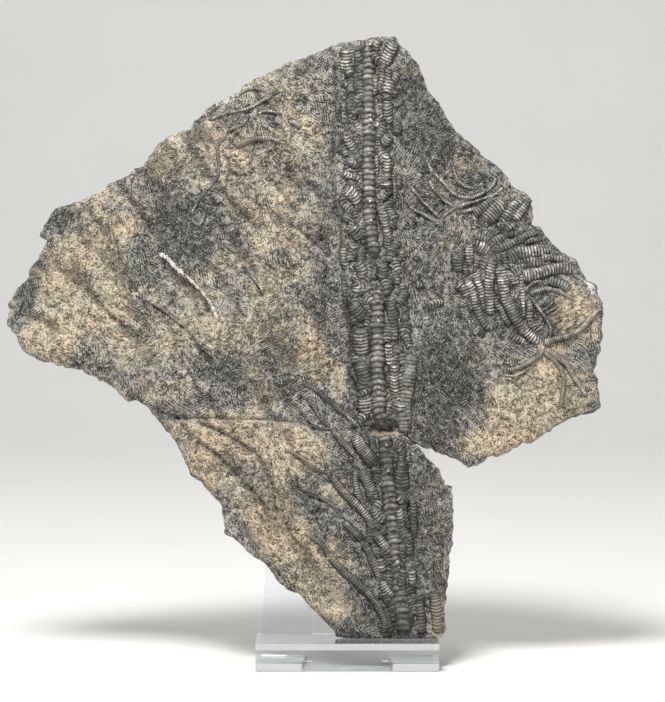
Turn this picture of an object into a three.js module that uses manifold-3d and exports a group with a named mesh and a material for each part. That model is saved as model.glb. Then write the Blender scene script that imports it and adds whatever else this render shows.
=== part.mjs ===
// A slab of shale with a fossil sea lily on its front face, leaning on a clear moulded easel.
// Millimetres, +Z up. The slab faces -Y and leans back; +X is to the right of its face.
import * as THREE from "three";
import { mergeVertices } from "three/addons/utils/BufferGeometryUtils.js";
import Module from "manifold-3d";

const wasm = await Module();
wasm.setup();

// Driving sizes
const LEAN = THREE.MathUtils.degToRad(12);    // the slab's lean from upright
const GAP = 0.3;                              // clearance between slab and easel
const SLAB_THICKNESS = 10;
const SLAB_GRID = 5.2;                        // spacing of the facets on both faces
const EDGE_DROP_FRONT = 1.2;                  // how far the front face falls at the edge
const EDGE_RISE_BACK = 3.2;                   // how far the back face comes forward at the edge
const EDGE_REACH = 8;                         // width of the thinned margin
const SLOW_SWELL = 0.5;                       // heights of the two waves of the front face
const QUICK_SWELL = 0.25;
const BAND_HEIGHT = 1.1;                      // the raised band along the stem
const BAND_REACH = 10;
const BACK_ROUGHNESS = 0.7;                   // mean height of the split back and its two waves
const BACK_SWELL = 0.5;
const BACK_RIPPLE = 0.2;
const CONTACT_MARGIN = 5;                     // the flat resting area round the easel's plate
const STEM_RADIUS = 2.3;
const STEM_STEPS = 36;
const CIRRUS_RADIUS = 1.3;
const CIRRUS_STEPS = 8;
const RIB_SINK = 0.25;                        // share of its radius that a rib's axis lies in the face

const EASEL_WIDTH = 50;
const WALL = 2;                               // the moulding's wall
const SHELF_TOP = 7.5;
const SHELF_FRONT = -7.5;                     // front face of the skirt
const SHELF_BACK = 11.5;
const SKIRT_CORNER = 1.7;
const FOOT_GAP_FRONT = 25;                    // cut-out between the two feet
const FOOT_GAP_BACK = 22;
const PLATE_THICKNESS = 2.2;
const PLATE_HALF_BASE = 24.6;
const PLATE_HALF_WAIST = 22;
const PLATE_HALF_SHOULDER = 23.4;
const PLATE_SHOULDER = 62;
const PLATE_TOP = 76;
const PLATE_WAIST = 27.9;                     // height of the narrowest place
const WAIST_EASE = 8;                         // how gently the sides curve there
const WINDOW_WIDTH = 19.4;
const WINDOW_TOP = 50;
const WINDOW_CORNER = 2.5;
const PROP_WIDTH = 19;
const PROP_THICKNESS = 2.2;
const PROP_FOOT = 52;                         // where the prop meets the ground, along +Y
const UNDERGROUND = 12;                       // how far the plate is drawn below the shelf, then cut
const FAR = 130;                              // past everything, for the cutting blocks

// The slab's outline on its own plane: across, then up. It starts at the left end of the foot.
const LEFT_SIDE = [
  [0, -1], [-2.5, 1], [-8, 7.5], [-12.5, 12], [-16.5, 13.5], [-23, 21.5], [-33.5, 29.5],
  [-34.5, 37], [-40.5, 44], [-45, 49], [-49, 57], [-53, 62.5], [-60.5, 66.5], [-66, 70.5],
  [-73.5, 75], [-81, 76.5], [-90.5, 80.5], [-95, 87.5], [-95, 93.5], [-92, 98],
  [-86.5, 107], [-84, 111.5], [-86, 113.5], [-83, 119], [-81.5, 120.5], [-74.5, 123],
  [-67, 127], [-60, 131.5], [-56, 135], [-51, 141], [-44, 144], [-39.5, 149],
  [-30.5, 154], [-20, 161], [-10, 165], [-2, 168.5], [6, 169.5],
];
const RIGHT_SIDE = [
  [8.5, 170], [14, 170], [17, 166], [21, 159.5], [24, 153.5], [30.5, 142.5], [38.5, 135.5],
  [46, 127], [51.5, 123.5], [52, 116], [55, 114.5], [57, 111], [65, 104], [70.5, 97],
  [71.5, 90], [70.5, 80], [68.5, 74.5], [70, 69], [68.5, 63.5], [61.5, 61],
  [52.5, 55.5], [43, 51], [33.5, 48], [27.5, 52], [19, 54.5],
];
const NOTCH_AND_LOBE = [
  [16.3, 56.5], [19.5, 53.2], [25.5, 46.5], [28.5, 42], [29.5, 35.5], [28, 19], [26.5, 7.5],
  [25.5, -1],
];
const OUTLINE = [...LEFT_SIDE, ...RIGHT_SIDE, ...NOTCH_AND_LOBE].map(([u, v]) => new THREE.Vector2(u, v));

// The centre line of the stem, from its foot to the top edge of the slab.
const STEM_LINE = [
  [15.6, 1], [14, 18], [12.6, 30.1], [11.4, 41.6], [10.6, 53.4], [8.7, 66.6], [8.4, 94.7],
  [6.2, 121.1], [6.2, 145.3], [6.2, 169],
].map(([u, v]) => new THREE.Vector2(u, v));

// The biggest free cirri and arms, each as a short line of points on the slab's plane.
const CIRRUS_LINES = [
  [[-13.8, 72.8], [-7.6, 67.2], [-0.6, 62.7], [3.1, 60.1]],
  [[-10.7, 50.6], [-4.5, 45.5], [0.8, 37.7], [6.7, 31.8], [11.2, 24.4]],
  [[-9.6, 34.3], [-0.8, 31.8], [5.3, 24.4], [9.8, 15.2], [12.1, 11.2]],
  [[-10.7, 28.7], [0.3, 17.7], [7.9, 9], [9.8, 5.9]],
  [[48.1, 125.6], [44.7, 122.5], [41.6, 119.1], [37.9, 115.5]],
  [[57.9, 109.9], [53.7, 108.7], [49.2, 107.6], [45, 105.4]],
  [[64.3, 105.1], [57.9, 106.8], [51.4, 105.7], [45.8, 104]],
  [[43.3, 104.8], [44.1, 99.5], [44.1, 94.9], [46.4, 89.1], [48.6, 85.7]],
  [[41.3, 106.2], [39.6, 99.5], [39.6, 93], [39.9, 91.3]],
  [[54.5, 82.1], [61.3, 84.3], [65.8, 86.8], [70, 92]],
];

// Where a chip of stone is missing beside the stem.
const CHIP = { at: [10.5, 58.2, 1], size: [5.6, 2.5, 2.6] };

const stoneMaterial = new THREE.MeshStandardMaterial({ color: 0x8f877a, roughness: 0.75, metalness: 0.05 });
const clearMaterial = new THREE.MeshStandardMaterial({
  color: 0xe8edf2, roughness: 0.08, metalness: 0, transparent: true, opacity: 0.35,
});

// ---- helpers: three.js geometry in and out of closed solids ----

function toSolid(geometry) {
  const bare = geometry.clone();
  bare.deleteAttribute("normal");
  bare.deleteAttribute("uv");
  const merged = mergeVertices(bare, 1e-4);
  return new wasm.Manifold(new wasm.Mesh({
    numProp: 3,
    vertProperties: new Float32Array(merged.attributes.position.array),
    triVerts: new Uint32Array(merged.index.array),
  }));
}

function toGeometry(solid) {
  const mesh = solid.getMesh();
  const geometry = new THREE.BufferGeometry();
  geometry.setAttribute("position", new THREE.BufferAttribute(mesh.vertProperties, 3));
  geometry.setIndex(new THREE.BufferAttribute(mesh.triVerts, 1));
  return geometry;
}

function unite(geometries) {
  return geometries.map(toSolid).reduce((sum, next) => sum.add(next));
}

function box(x0, x1, y0, y1, z0, z1) {
  const geometry = new THREE.BoxGeometry(x1 - x0, y1 - y0, z1 - z0);
  return geometry.translate((x0 + x1) / 2, (y0 + y1) / 2, (z0 + z1) / 2);
}

// The slab's plane: x across, y up the slab, z out of its face, with the foot's front edge at zero.
const slabPlane = new THREE.Group();
slabPlane.rotation.x = Math.PI / 2 - LEAN;
slabPlane.position.z = SHELF_TOP + GAP;
slabPlane.updateMatrixWorld();

// ---- the stone slab ----

function distanceToLine(point, line) {
  let best = Infinity;
  const nearest = new THREE.Vector3();
  const here = new THREE.Vector3(point.x, point.y, 0);
  for (let i = 0; i + 1 < line.length; i += 1) {
    const from = new THREE.Vector3(line[i].x, line[i].y, 0);
    const to = new THREE.Vector3(line[i + 1].x, line[i + 1].y, 0);
    new THREE.Line3(from, to).closestPointToPoint(here, true, nearest);
    best = Math.min(best, nearest.distanceTo(here));
  }
  return best;
}

function edgeShare(point) {
  return 1 - THREE.MathUtils.smoothstep(distanceToLine(point, OUTLINE), 0, EDGE_REACH);
}

// Height of the front face: slow swells, a raised band along the stem, and a falling margin.
function frontHeight(point) {
  const swell = SLOW_SWELL * Math.sin(point.x / 23 + 1.1) * Math.cos(point.y / 31 + 0.4)
    + QUICK_SWELL * Math.sin(point.x / 9.7 + point.y / 13.1);
  const band = BAND_HEIGHT * Math.exp(-((distanceToLine(point, STEM_LINE) / BAND_REACH) ** 2));
  return swell + band - EDGE_DROP_FRONT * edgeShare(point);
}

// Height of the back face: a split surface that is flat where the easel touches it.
function backHeight(point) {
  const roughness = BACK_ROUGHNESS + BACK_SWELL * Math.sin(point.x / 11 + 0.6) * Math.sin(point.y / 14)
    + BACK_RIPPLE * Math.cos(point.x / 5.3 - point.y / 7.1);
  const beside = Math.abs(point.x) < PLATE_HALF_BASE + CONTACT_MARGIN;
  const onEasel = beside && point.y < PLATE_TOP + CONTACT_MARGIN;
  return -SLAB_THICKNESS + (onEasel ? 0 : roughness) + EDGE_RISE_BACK * edgeShare(point);
}

function slabBlock() {
  const bounds = new THREE.Box2().setFromPoints(OUTLINE).expandByScalar(SLAB_GRID / 2);
  const size = bounds.getSize(new THREE.Vector2());
  const centre = bounds.getCenter(new THREE.Vector2());
  const columns = Math.round(size.x / SLAB_GRID);
  const rows = Math.round(size.y / SLAB_GRID);
  const block = new THREE.BoxGeometry(size.x, size.y, SLAB_THICKNESS, columns, rows, 1);
  block.translate(centre.x, centre.y, 0);
  const position = block.attributes.position;
  for (let i = 0; i < position.count; i += 1) {
    const point = new THREE.Vector2(position.getX(i), position.getY(i));
    position.setZ(i, position.getZ(i) > 0 ? frontHeight(point) : backHeight(point));
  }
  return block;
}

function outlinePrism() {
  const reach = 3 * SLAB_THICKNESS;
  const prism = new THREE.ExtrudeGeometry(new THREE.Shape(OUTLINE), { depth: reach, bevelEnabled: false });
  return prism.translate(0, 0, -0.7 * reach);
}

// A rib of fossil: a six-sided rod half sunk in the face along a smooth curve.
function rib(points, radius, steps) {
  const along = points.map((p) => new THREE.Vector3(p.x, p.y, frontHeight(p) - RIB_SINK * radius));
  const section = new THREE.Shape();
  section.absarc(0, 0, radius, 0, 2 * Math.PI);
  return new THREE.ExtrudeGeometry(section, {
    steps,
    curveSegments: 3,
    extrudePath: new THREE.CatmullRomCurve3(along),
  });
}

function chipHollow() {
  const hollow = new THREE.IcosahedronGeometry(1, 2);
  hollow.scale(...CHIP.size);
  return hollow.translate(...CHIP.at);
}

// Everything under the foot's resting plane, in the slab's own plane.
function belowFoot() {
  const ground = box(-FAR, FAR, -FAR, FAR, -FAR, SHELF_TOP + GAP);
  return ground.applyMatrix4(slabPlane.matrixWorld.clone().invert());
}

function makeSlab() {
  const cirri = CIRRUS_LINES.map((line) => {
    const points = line.map(([u, v]) => new THREE.Vector2(u, v));
    return rib(points, CIRRUS_RADIUS, CIRRUS_STEPS);
  });
  const solid = toSolid(slabBlock())
    .add(toSolid(rib(STEM_LINE, STEM_RADIUS, STEM_STEPS)))
    .add(unite(cirri))
    .intersect(toSolid(outlinePrism()))
    .subtract(toSolid(chipHollow()))
    .subtract(toSolid(belowFoot()));
  const slab = new THREE.Mesh(toGeometry(solid), stoneMaterial);
  slab.name = "slab";
  return slab;
}

// ---- the clear easel, one moulding ----

function skirt() {
  const half = EASEL_WIDTH / 2;
  const shape = new THREE.Shape();
  shape.moveTo(-half, SHELF_TOP);
  shape.lineTo(-half, SKIRT_CORNER);
  shape.absarc(-half + SKIRT_CORNER, SKIRT_CORNER, SKIRT_CORNER, Math.PI, 1.5 * Math.PI);
  shape.absarc(half - SKIRT_CORNER, SKIRT_CORNER, SKIRT_CORNER, 1.5 * Math.PI, 2 * Math.PI);
  shape.lineTo(half, SHELF_TOP);
  const geometry = new THREE.ExtrudeGeometry(shape, { depth: WALL, bevelEnabled: false, curveSegments: 5 });
  return geometry.rotateX(Math.PI / 2).translate(0, SHELF_FRONT + WALL, 0);
}

function shelf() {
  const half = EASEL_WIDTH / 2;
  return box(-half, half, SHELF_FRONT, SHELF_BACK, SHELF_TOP - WALL, SHELF_TOP);
}

// One of the two feet: a flat wing on the ground with a slanted inner side.
function foot(side) {
  const shape = new THREE.Shape([
    new THREE.Vector2(side * FOOT_GAP_FRONT / 2, SHELF_FRONT + WALL / 2),
    new THREE.Vector2(side * EASEL_WIDTH / 2, SHELF_FRONT + WALL / 2),
    new THREE.Vector2(side * EASEL_WIDTH / 2, SHELF_BACK),
    new THREE.Vector2(side * FOOT_GAP_BACK / 2, SHELF_BACK),
  ]);
  return new THREE.ExtrudeGeometry(shape, { depth: WALL, bevelEnabled: false });
}

function plate() {
  const below = -UNDERGROUND;
  const low = PLATE_WAIST - WAIST_EASE;
  const high = PLATE_WAIST + WAIST_EASE;
  const shape = new THREE.Shape();
  shape.moveTo(-PLATE_HALF_BASE, below);
  shape.bezierCurveTo(-PLATE_HALF_WAIST, low, -PLATE_HALF_WAIST, high, -PLATE_HALF_SHOULDER, PLATE_SHOULDER);
  shape.quadraticCurveTo(-PLATE_HALF_SHOULDER, PLATE_TOP, 0, PLATE_TOP);
  shape.quadraticCurveTo(PLATE_HALF_SHOULDER, PLATE_TOP, PLATE_HALF_SHOULDER, PLATE_SHOULDER);
  shape.bezierCurveTo(PLATE_HALF_WAIST, high, PLATE_HALF_WAIST, low, PLATE_HALF_BASE, below);
  const inner = WINDOW_WIDTH / 2;
  const corner = WINDOW_TOP - WINDOW_CORNER;
  shape.lineTo(inner, below);
  shape.lineTo(inner, corner);
  shape.absarc(inner - WINDOW_CORNER, corner, WINDOW_CORNER, 0, 0.5 * Math.PI);
  shape.absarc(-inner + WINDOW_CORNER, corner, WINDOW_CORNER, 0.5 * Math.PI, Math.PI);
  shape.lineTo(-inner, below);
  const geometry = new THREE.ExtrudeGeometry(shape, {
    depth: PLATE_THICKNESS, bevelEnabled: false, curveSegments: 8,
  });
  geometry.translate(0, 0, -SLAB_THICKNESS - GAP - PLATE_THICKNESS);
  return geometry.applyMatrix4(slabPlane.matrixWorld);
}

// The rear prop: a straight strip from the top of the window down to the ground behind.
function prop() {
  const top = new THREE.Vector3(0, WINDOW_TOP + 1, -SLAB_THICKNESS - GAP - PLATE_THICKNESS / 2);
  top.applyMatrix4(slabPlane.matrixWorld);
  const ground = new THREE.Vector3(0, PROP_FOOT, 0);
  const direction = ground.clone().sub(top).normalize();
  const length = ground.distanceTo(top) + PROP_THICKNESS;
  const strip = new THREE.BoxGeometry(PROP_WIDTH, length, PROP_THICKNESS);
  strip.translate(0, length / 2, 0);
  const turn = new THREE.Quaternion().setFromUnitVectors(new THREE.Vector3(0, 1, 0), direction);
  strip.applyQuaternion(turn);
  return strip.translate(top.x, top.y, top.z);
}

function makeEasel() {
  const underground = box(-FAR, FAR, -FAR, FAR, -FAR, 0);
  const solid = unite([skirt(), shelf(), foot(-1), foot(1), plate(), prop()])
    .subtract(toSolid(underground));
  const easel = new THREE.Mesh(toGeometry(solid), clearMaterial);
  easel.name = "stand";
  return easel;
}

// ---- the whole: slab on easel, with the origin under the middle of both ----

const slab = makeSlab();
slabPlane.add(slab);

const model = new THREE.Group();
model.add(slabPlane, makeEasel());
model.updateMatrixWorld(true);
const extent = new THREE.Box3().setFromObject(model, true);
const middle = extent.getCenter(new THREE.Vector3());
model.position.set(-middle.x, -middle.y, -extent.min.z);

export default model;
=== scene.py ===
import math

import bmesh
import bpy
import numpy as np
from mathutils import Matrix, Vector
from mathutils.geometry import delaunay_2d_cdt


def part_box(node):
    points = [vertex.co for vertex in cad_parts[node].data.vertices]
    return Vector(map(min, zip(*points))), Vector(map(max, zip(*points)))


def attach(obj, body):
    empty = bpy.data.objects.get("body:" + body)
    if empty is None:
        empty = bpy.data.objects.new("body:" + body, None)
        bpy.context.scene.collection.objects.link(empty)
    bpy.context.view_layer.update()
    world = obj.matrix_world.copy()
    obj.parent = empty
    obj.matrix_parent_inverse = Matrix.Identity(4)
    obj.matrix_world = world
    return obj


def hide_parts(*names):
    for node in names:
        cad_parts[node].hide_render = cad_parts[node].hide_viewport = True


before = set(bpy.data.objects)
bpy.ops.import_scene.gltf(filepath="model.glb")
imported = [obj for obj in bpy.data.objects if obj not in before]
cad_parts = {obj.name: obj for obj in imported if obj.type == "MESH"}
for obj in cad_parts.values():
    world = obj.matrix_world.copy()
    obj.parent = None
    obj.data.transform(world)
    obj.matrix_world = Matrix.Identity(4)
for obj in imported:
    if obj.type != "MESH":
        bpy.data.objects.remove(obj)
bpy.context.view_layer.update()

# %% [markdown]
# # A fossil sea lily on its slab of shale
#
# The real thing is a split slab of dark shale. A sea lily, which is an animal on a long
# stalk, lies flattened on its face. Its stem runs down the slab, small side arms called
# cirri lie along the stem, and part of its crown spreads to the right. The slab leans on a
# small clear moulded easel.
#
# The loaded frame holds two plain solids, `slab` and `stand`. Here they get their looks: a
# fine stone surface, a few thousand little fossil joints, and clear plastic with soft edges.

stand_low, stand_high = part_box("stand")

# %% [markdown]
# ## A drawing board on the slab
#
# Everything on the stone is drawn in millimetres on the slab's own plane: `u` runs across,
# `v` runs up the slab and `w` stands out of its face. One function carries such a point into
# the frame, so the lean is written once. The zero point is the middle of the slab's foot,
# which the easel's shelf carries.

# %% The slab's plane
MM = 0.001
LEAN = math.radians(12)
SHELF_TOP = 7.5
GAP = 0.3
SHELF_DEPTH_BEFORE_SLAB = 7.5
SLAB_THICKNESS = 10.0
foot = np.array([
    (stand_low[0] + stand_high[0]) / 2,
    stand_low[1] + SHELF_DEPTH_BEFORE_SLAB * MM,
    stand_low[2] + (SHELF_TOP + GAP) * MM,
])
across = np.array([1.0, 0.0, 0.0])
up_slab = np.array([0.0, math.sin(LEAN), math.cos(LEAN)])
out_of_face = np.array([0.0, -math.cos(LEAN), math.sin(LEAN)])


def place(u, v, w):
    """Carry points from the slab's plane, in mm, into the frame, in metres."""
    u, v, w = (np.asarray(a, dtype=float)[..., None] for a in (u, v, w))
    return foot + (u * across + v * up_slab + w * out_of_face) * MM


def unplace(points):
    """The reverse: points in the frame back to u, v, w in mm."""
    offset = (np.asarray(points) - foot) / MM
    return offset @ across, offset @ up_slab, offset @ out_of_face


def show(name, data):
    """A new object in the scene, at the origin and unturned."""
    made = bpy.data.objects.new(name, data)
    bpy.context.collection.objects.link(made)
    return made


print("slab foot, m:", np.round(foot, 4))

# %% [markdown]
# ## Noise
#
# Stone is never smooth. A small value noise gives every part of the model the same kind of
# unevenness: random numbers on a lattice, blended smoothly, and added up at several sizes.
# The seed is fixed, so each run makes the same stone. A `shift` moves a pattern to a fresh
# part of the lattice, so that no two uses of the noise look alike.

# %% Value noise on the slab's plane
NOISE_SEED = 7
CELLS = 256
SHIFT_U, SHIFT_V = 17.3, 31.7
CLEAR_OF_ZERO = 90
LATTICE = np.random.RandomState(NOISE_SEED).rand(CELLS, CELLS) * 2 - 1


def eased(t):
    return t * t * (3 - 2 * t)


def ramp(x, low, high):
    """0 below low, 1 above high, smooth between."""
    return eased(np.clip((np.asarray(x) - low) / (high - low), 0, 1))


def noise(u, v, size, shift=0.0):
    """Smooth noise from -1 to 1 whose bumps are about `size` mm wide."""
    x = np.asarray(u) / size + shift * SHIFT_U + CLEAR_OF_ZERO
    y = np.asarray(v) / size + shift * SHIFT_V + CLEAR_OF_ZERO
    i, j = np.floor(x).astype(int), np.floor(y).astype(int)
    fx, fy = eased(x - i), eased(y - j)
    i, j, right, above = i % CELLS, j % CELLS, (i + 1) % CELLS, (j + 1) % CELLS
    low = LATTICE[i, j] * (1 - fx) + LATTICE[right, j] * fx
    high = LATTICE[i, above] * (1 - fx) + LATTICE[right, above] * fx
    return low * (1 - fy) + high * fy


def layered_noise(u, v, size, layers, shift=0.0, fade=0.55):
    """Noise at several sizes, each half as wide as the last and weaker by `fade`."""
    return sum(noise(u, v, size / 2 ** k, shift + k) * fade ** k for k in range(layers))


print("noise sample:", np.round(noise(np.arange(4) * 3.3, 0, 5.0), 3))

# %% [markdown]
# ## The outline
#
# The slab was split and broken by hand, so its outline is irregular and has to be drawn: a
# point wherever the edge turns. The fine raggedness between those points follows no plan, so
# noise makes it.

# %% Outline of the slab
LEFT_SIDE = [
    (0, 0), (-2.5, 1), (-6.5, 5.5), (-8, 7.5), (-11, 10), (-12.5, 12), (-16.5, 13.5), (-18, 15),
    (-23, 21.5), (-29, 26), (-33.5, 29.5), (-34, 33), (-34.5, 37), (-40.5, 44), (-43, 46),
    (-45, 49), (-46.5, 53.5), (-49, 57), (-53, 62.5), (-54, 63.5), (-56.5, 65.5),
    (-60.5, 66.5), (-63.5, 69), (-66, 70.5), (-69.5, 72.5), (-73.5, 75), (-81, 76.5),
    (-87.5, 79), (-90.5, 80.5), (-92.5, 85), (-94.8, 87.5), (-94.3, 92), (-94.8, 93.5),
    (-93, 95.5), (-92, 98), (-89, 101), (-89, 102.5), (-87, 105.5), (-85.5, 108.5),
    (-84, 111.5), (-86, 113.5), (-85, 115.5), (-83, 119), (-81.5, 120.5), (-76, 122),
    (-72, 124), (-69, 125), (-65, 128.5), (-61, 130), (-60, 131.5), (-57, 133), (-56, 135),
    (-54, 138.5), (-51, 141), (-48, 142.5), (-44, 144), (-42, 146.5), (-39.5, 149),
    (-36.5, 151), (-30.5, 154), (-29.5, 156), (-26.5, 157.5), (-20, 161), (-15, 163.5),
    (-10, 165), (-5, 167), (-2, 168.3), (4, 168.5), (6, 169.3),
]
RIGHT_SIDE = [
    (8.5, 169.8), (14, 169.8), (15, 167.5), (17, 166), (19.5, 162.5), (21, 159.5), (22.5, 155.5),
    (26, 151), (28, 146.5), (30.5, 142.5), (34.5, 139.5), (38.5, 135.5), (42, 133),
    (45, 129.5), (46, 127), (49, 125.5), (51, 124.5), (51.5, 123.5), (52, 116), (54, 115.5),
    (55.5, 112.5), (58, 110), (60.5, 108), (63, 106.5), (65, 104), (65.5, 102.5), (67, 100.5),
    (69.5, 98.5), (71.3, 93.5), (71.3, 90), (70.8, 86.5), (70.5, 80), (69.5, 78), (68.5, 74.5),
    (69.5, 72.5), (70, 69), (70, 65), (68.5, 63.5), (64.5, 62.5), (61.5, 61), (58, 59.5),
    (52.5, 55.5), (46, 53), (43, 51), (39, 50.5), (36, 48.5), (33.5, 48), (31.5, 49.5),
    (27.5, 52), (23, 53), (19, 54.5), (17, 56),
]
NOTCH_AND_LOBE = [
    (16.3, 56.5), (17.8, 54.6), (19.5, 53.2), (22.5, 49.5), (25.5, 46.5), (26.5, 42.5),
    (28.5, 42), (28.5, 39.5), (29.4, 35.5), (29, 31.5), (28.5, 25.5), (28, 19), (27, 15),
    (26.5, 7.5), (26.5, 2.5), (25.5, 0),
]
outline = np.array(LEFT_SIDE + RIGHT_SIDE + NOTCH_AND_LOBE, dtype=float)
FAR, TINY = 1e9, 1e-9


def distance_to(u, v, line, closed=False):
    """Shortest distance in mm from each point to a line of points."""
    u, v = np.asarray(u, dtype=float), np.asarray(v, dtype=float)
    line = np.asarray(line, dtype=float)
    ends = np.roll(line, -1, axis=0) if closed else line[1:]
    starts = line if closed else line[:-1]
    best = np.full(u.shape, FAR)
    for (x0, y0), (x1, y1) in zip(starts, ends):
        dx, dy = x1 - x0, y1 - y0
        t = np.clip(((u - x0) * dx + (v - y0) * dy) / (dx * dx + dy * dy + TINY), 0, 1)
        best = np.minimum(best, (u - x0 - t * dx) ** 2 + (v - y0 - t * dy) ** 2)
    return np.sqrt(best)


def to_edge(u, v):
    return distance_to(u, v, outline, closed=True)


def inside(u, v, line):
    """True for points within a closed outline, by counting crossings."""
    u, v = np.asarray(u, dtype=float), np.asarray(v, dtype=float)
    odd = np.zeros(u.shape, dtype=bool)
    for (x0, y0), (x1, y1) in zip(line, np.roll(line, -1, axis=0)):
        if y0 != y1:
            crosses = (y0 > v) != (y1 > v)
            odd ^= crosses & (u < (x1 - x0) * (v - y0) / (y1 - y0) + x0)
    return odd


size = np.ptp(outline, axis=0)
print(f"slab outline: {len(outline)} corners, {size[0]:.1f} mm wide, {size[1]:.1f} mm tall")

# %% [markdown]
# ## Where the fossil lies
#
# Each line below is the middle of one fossil piece. Before its points come its width in mm
# and how bright a painted highlight its high spots get, from 0 to 1. They are drawn, because
# no rule says where a dead sea lily's arms come to rest.

# %% The stem
STEM_LINE = [
    (15.6, -0.5), (15.2, 5.9), (14, 18), (12.6, 30.1), (11.4, 41.6), (10.6, 53.4), (8.7, 66.6),
    (8.4, 94.7), (6.2, 121.1), (6.2, 145.3), (6.2, 168.2),
]

# %% The cirri, the arms of the crown and the marks on the stone
STEM_SIDES_TOP = [
    (4.2, 0.8, [(-0.3, 167.1), (-0.2, 163.1), (-0.3, 158.4)]),
    (2.3, 0.9, [(-2.1, 156.3), (0.8, 155.8)]),
    (2.3, 0.6, [(1.5, 156.5), (3.9, 153.5)]),
    (1.9, 0.7, [(-2.6, 152.1), (-2.4, 148.6), (-2.2, 145.3)]),
    (1.8, 0.6, [(0.5, 152.3), (0.6, 148.6), (0.8, 145.5)]),
    (2.9, 0.7, [(3, 153.5), (3, 151.4), (3.1, 149.4)]),
    (3.3, 0.9, [(-0.3, 142), (0.8, 139), (3.2, 135.2)]),
    (2.8, 0.4, [(-1.5, 134.5), (1.3, 133.1), (4.4, 132.2)]),
    (2.3, 0.8, [(-1.7, 130.5), (0.8, 129.6), (3.9, 128.7)]),
    (4, 0.9, [(-1.5, 126.8), (0.8, 124.7), (3.7, 122.3)]),
    (4.4, 1, [(13.7, 168.7), (11.8, 164.5), (9.5, 160.3)]),
    (2.3, 0.6, [(9.7, 169.2), (8.4, 167.1), (8.3, 164.9)]),
    (2.3, 0.8, [(11.9, 161), (11.8, 158.4), (11.4, 156.3), (11.4, 154.4)]),
    (1.9, 0.5, [(13.7, 154.6), (13, 152.1)]),
    (3.5, 1, [(11.1, 152.1), (11.3, 148.6), (12.3, 144.1)]),
    (2.3, 0.9, [(7.4, 145), (10.2, 143.4)]),
    (3.7, 0.6, [(12.8, 142), (11.1, 139.7), (9, 137.8)]),
    (2.9, 1, [(11.1, 136.4), (11.1, 132.6), (11, 128.7)]),
    (4.7, 0.6, [(10.8, 128.7), (10.9, 125.1)]),
    (2.8, 1, [(10.7, 124.9), (8.1, 122.3)]),
    (1.4, 0.5, [(13.2, 130.8), (13.3, 126.1), (13.3, 121.4)]),
    (1.9, 0.5, [(7.9, 159.3), (8.1, 155.6), (7.9, 152.3)]),
    (2.1, 0.5, [(3.4, 161.2), (3.7, 157.9), (3.4, 156.5)]),
    (2.6, 0.6, [(2.7, 165.9), (3.2, 163.5), (3, 161.4)]),
    (1.9, 0.4, [(4.4, 145.7), (4.2, 142), (4.5, 138.3)]),
    (2.1, 0.5, [(8.1, 136.4), (8.2, 132.2), (8.1, 128.9)]),
]
STEM_SIDES_MIDDLE = [
    (3.7, 0.9, [(-0.3, 126.8), (1.7, 124.1), (3.4, 120.8)]),
    (3.7, 0.9, [(11.7, 125.8), (10.1, 124.1), (8.4, 122.1)]),
    (3.3, 0.4, [(10.1, 121.1), (10.4, 117.1), (11.4, 113.1)]),
    (4, 0.5, [(0.1, 115.4), (2.4, 113.4), (4.7, 111.1)]),
    (3.7, 1, [(1.7, 111.4), (1.8, 109.4), (1.7, 107.8)]),
    (2.7, 0.8, [(10.9, 115.1), (11.4, 111.8), (11.1, 108.1)]),
    (3.3, 0.4, [(-0.9, 110.4), (-0.6, 106.4), (-0.3, 102.4)]),
    (4, 0.4, [(2.4, 105.8), (4.1, 102.4), (3.4, 99.1)]),
    (3.7, 0.4, [(10.1, 105.8), (9.9, 101.8), (9.1, 99.1)]),
    (4.3, 0.7, [(3.1, 99.1), (3.4, 96.4), (4.1, 94.8)]),
    (4.7, 0.4, [(0.7, 94.1), (3.1, 91.1), (5.7, 87.8)]),
    (3.3, 0.5, [(11.7, 95.8), (12.4, 91.1), (13.1, 85.8), (13.2, 81.8)]),
    (5.2, 0.85, [(3.6, 87.5), (3.9, 82.5), (4.4, 77.5)]),
    (4.7, 0.4, [(3.4, 77.1), (4.7, 72.5), (4.4, 68.5)]),
    (3, 1, [(11.5, 82.5), (11.6, 79.1), (12.4, 75.1)]),
    (3.1, 0.9, [(13.1, 76.5), (13.2, 71.8), (13.1, 66.8)]),
    (5.2, 0.6, [(4.7, 67.8), (5.1, 64.5), (6.1, 60.5)]),
    (5, 0.7, [(14.7, 66.8), (14.4, 63.8), (13.7, 61.5)]),
    (2, 0.4, [(-0.9, 101.8), (-0.6, 97.1), (-0.4, 92.5)]),
    (2.3, 0.5, [(15.4, 109.1), (15.7, 105.4)]),
    (2.7, 0.8, [(18.4, 98.4), (21.7, 98.8)]),
    (2.7, 0.8, [(21.7, 92.1), (25.7, 93.8), (27.7, 93.8)]),
    (2.3, 0.6, [(19.7, 107.1), (19.4, 105.1)]),
    (3, 0.7, [(30.4, 99.1), (32.4, 97.1)]),
]
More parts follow.
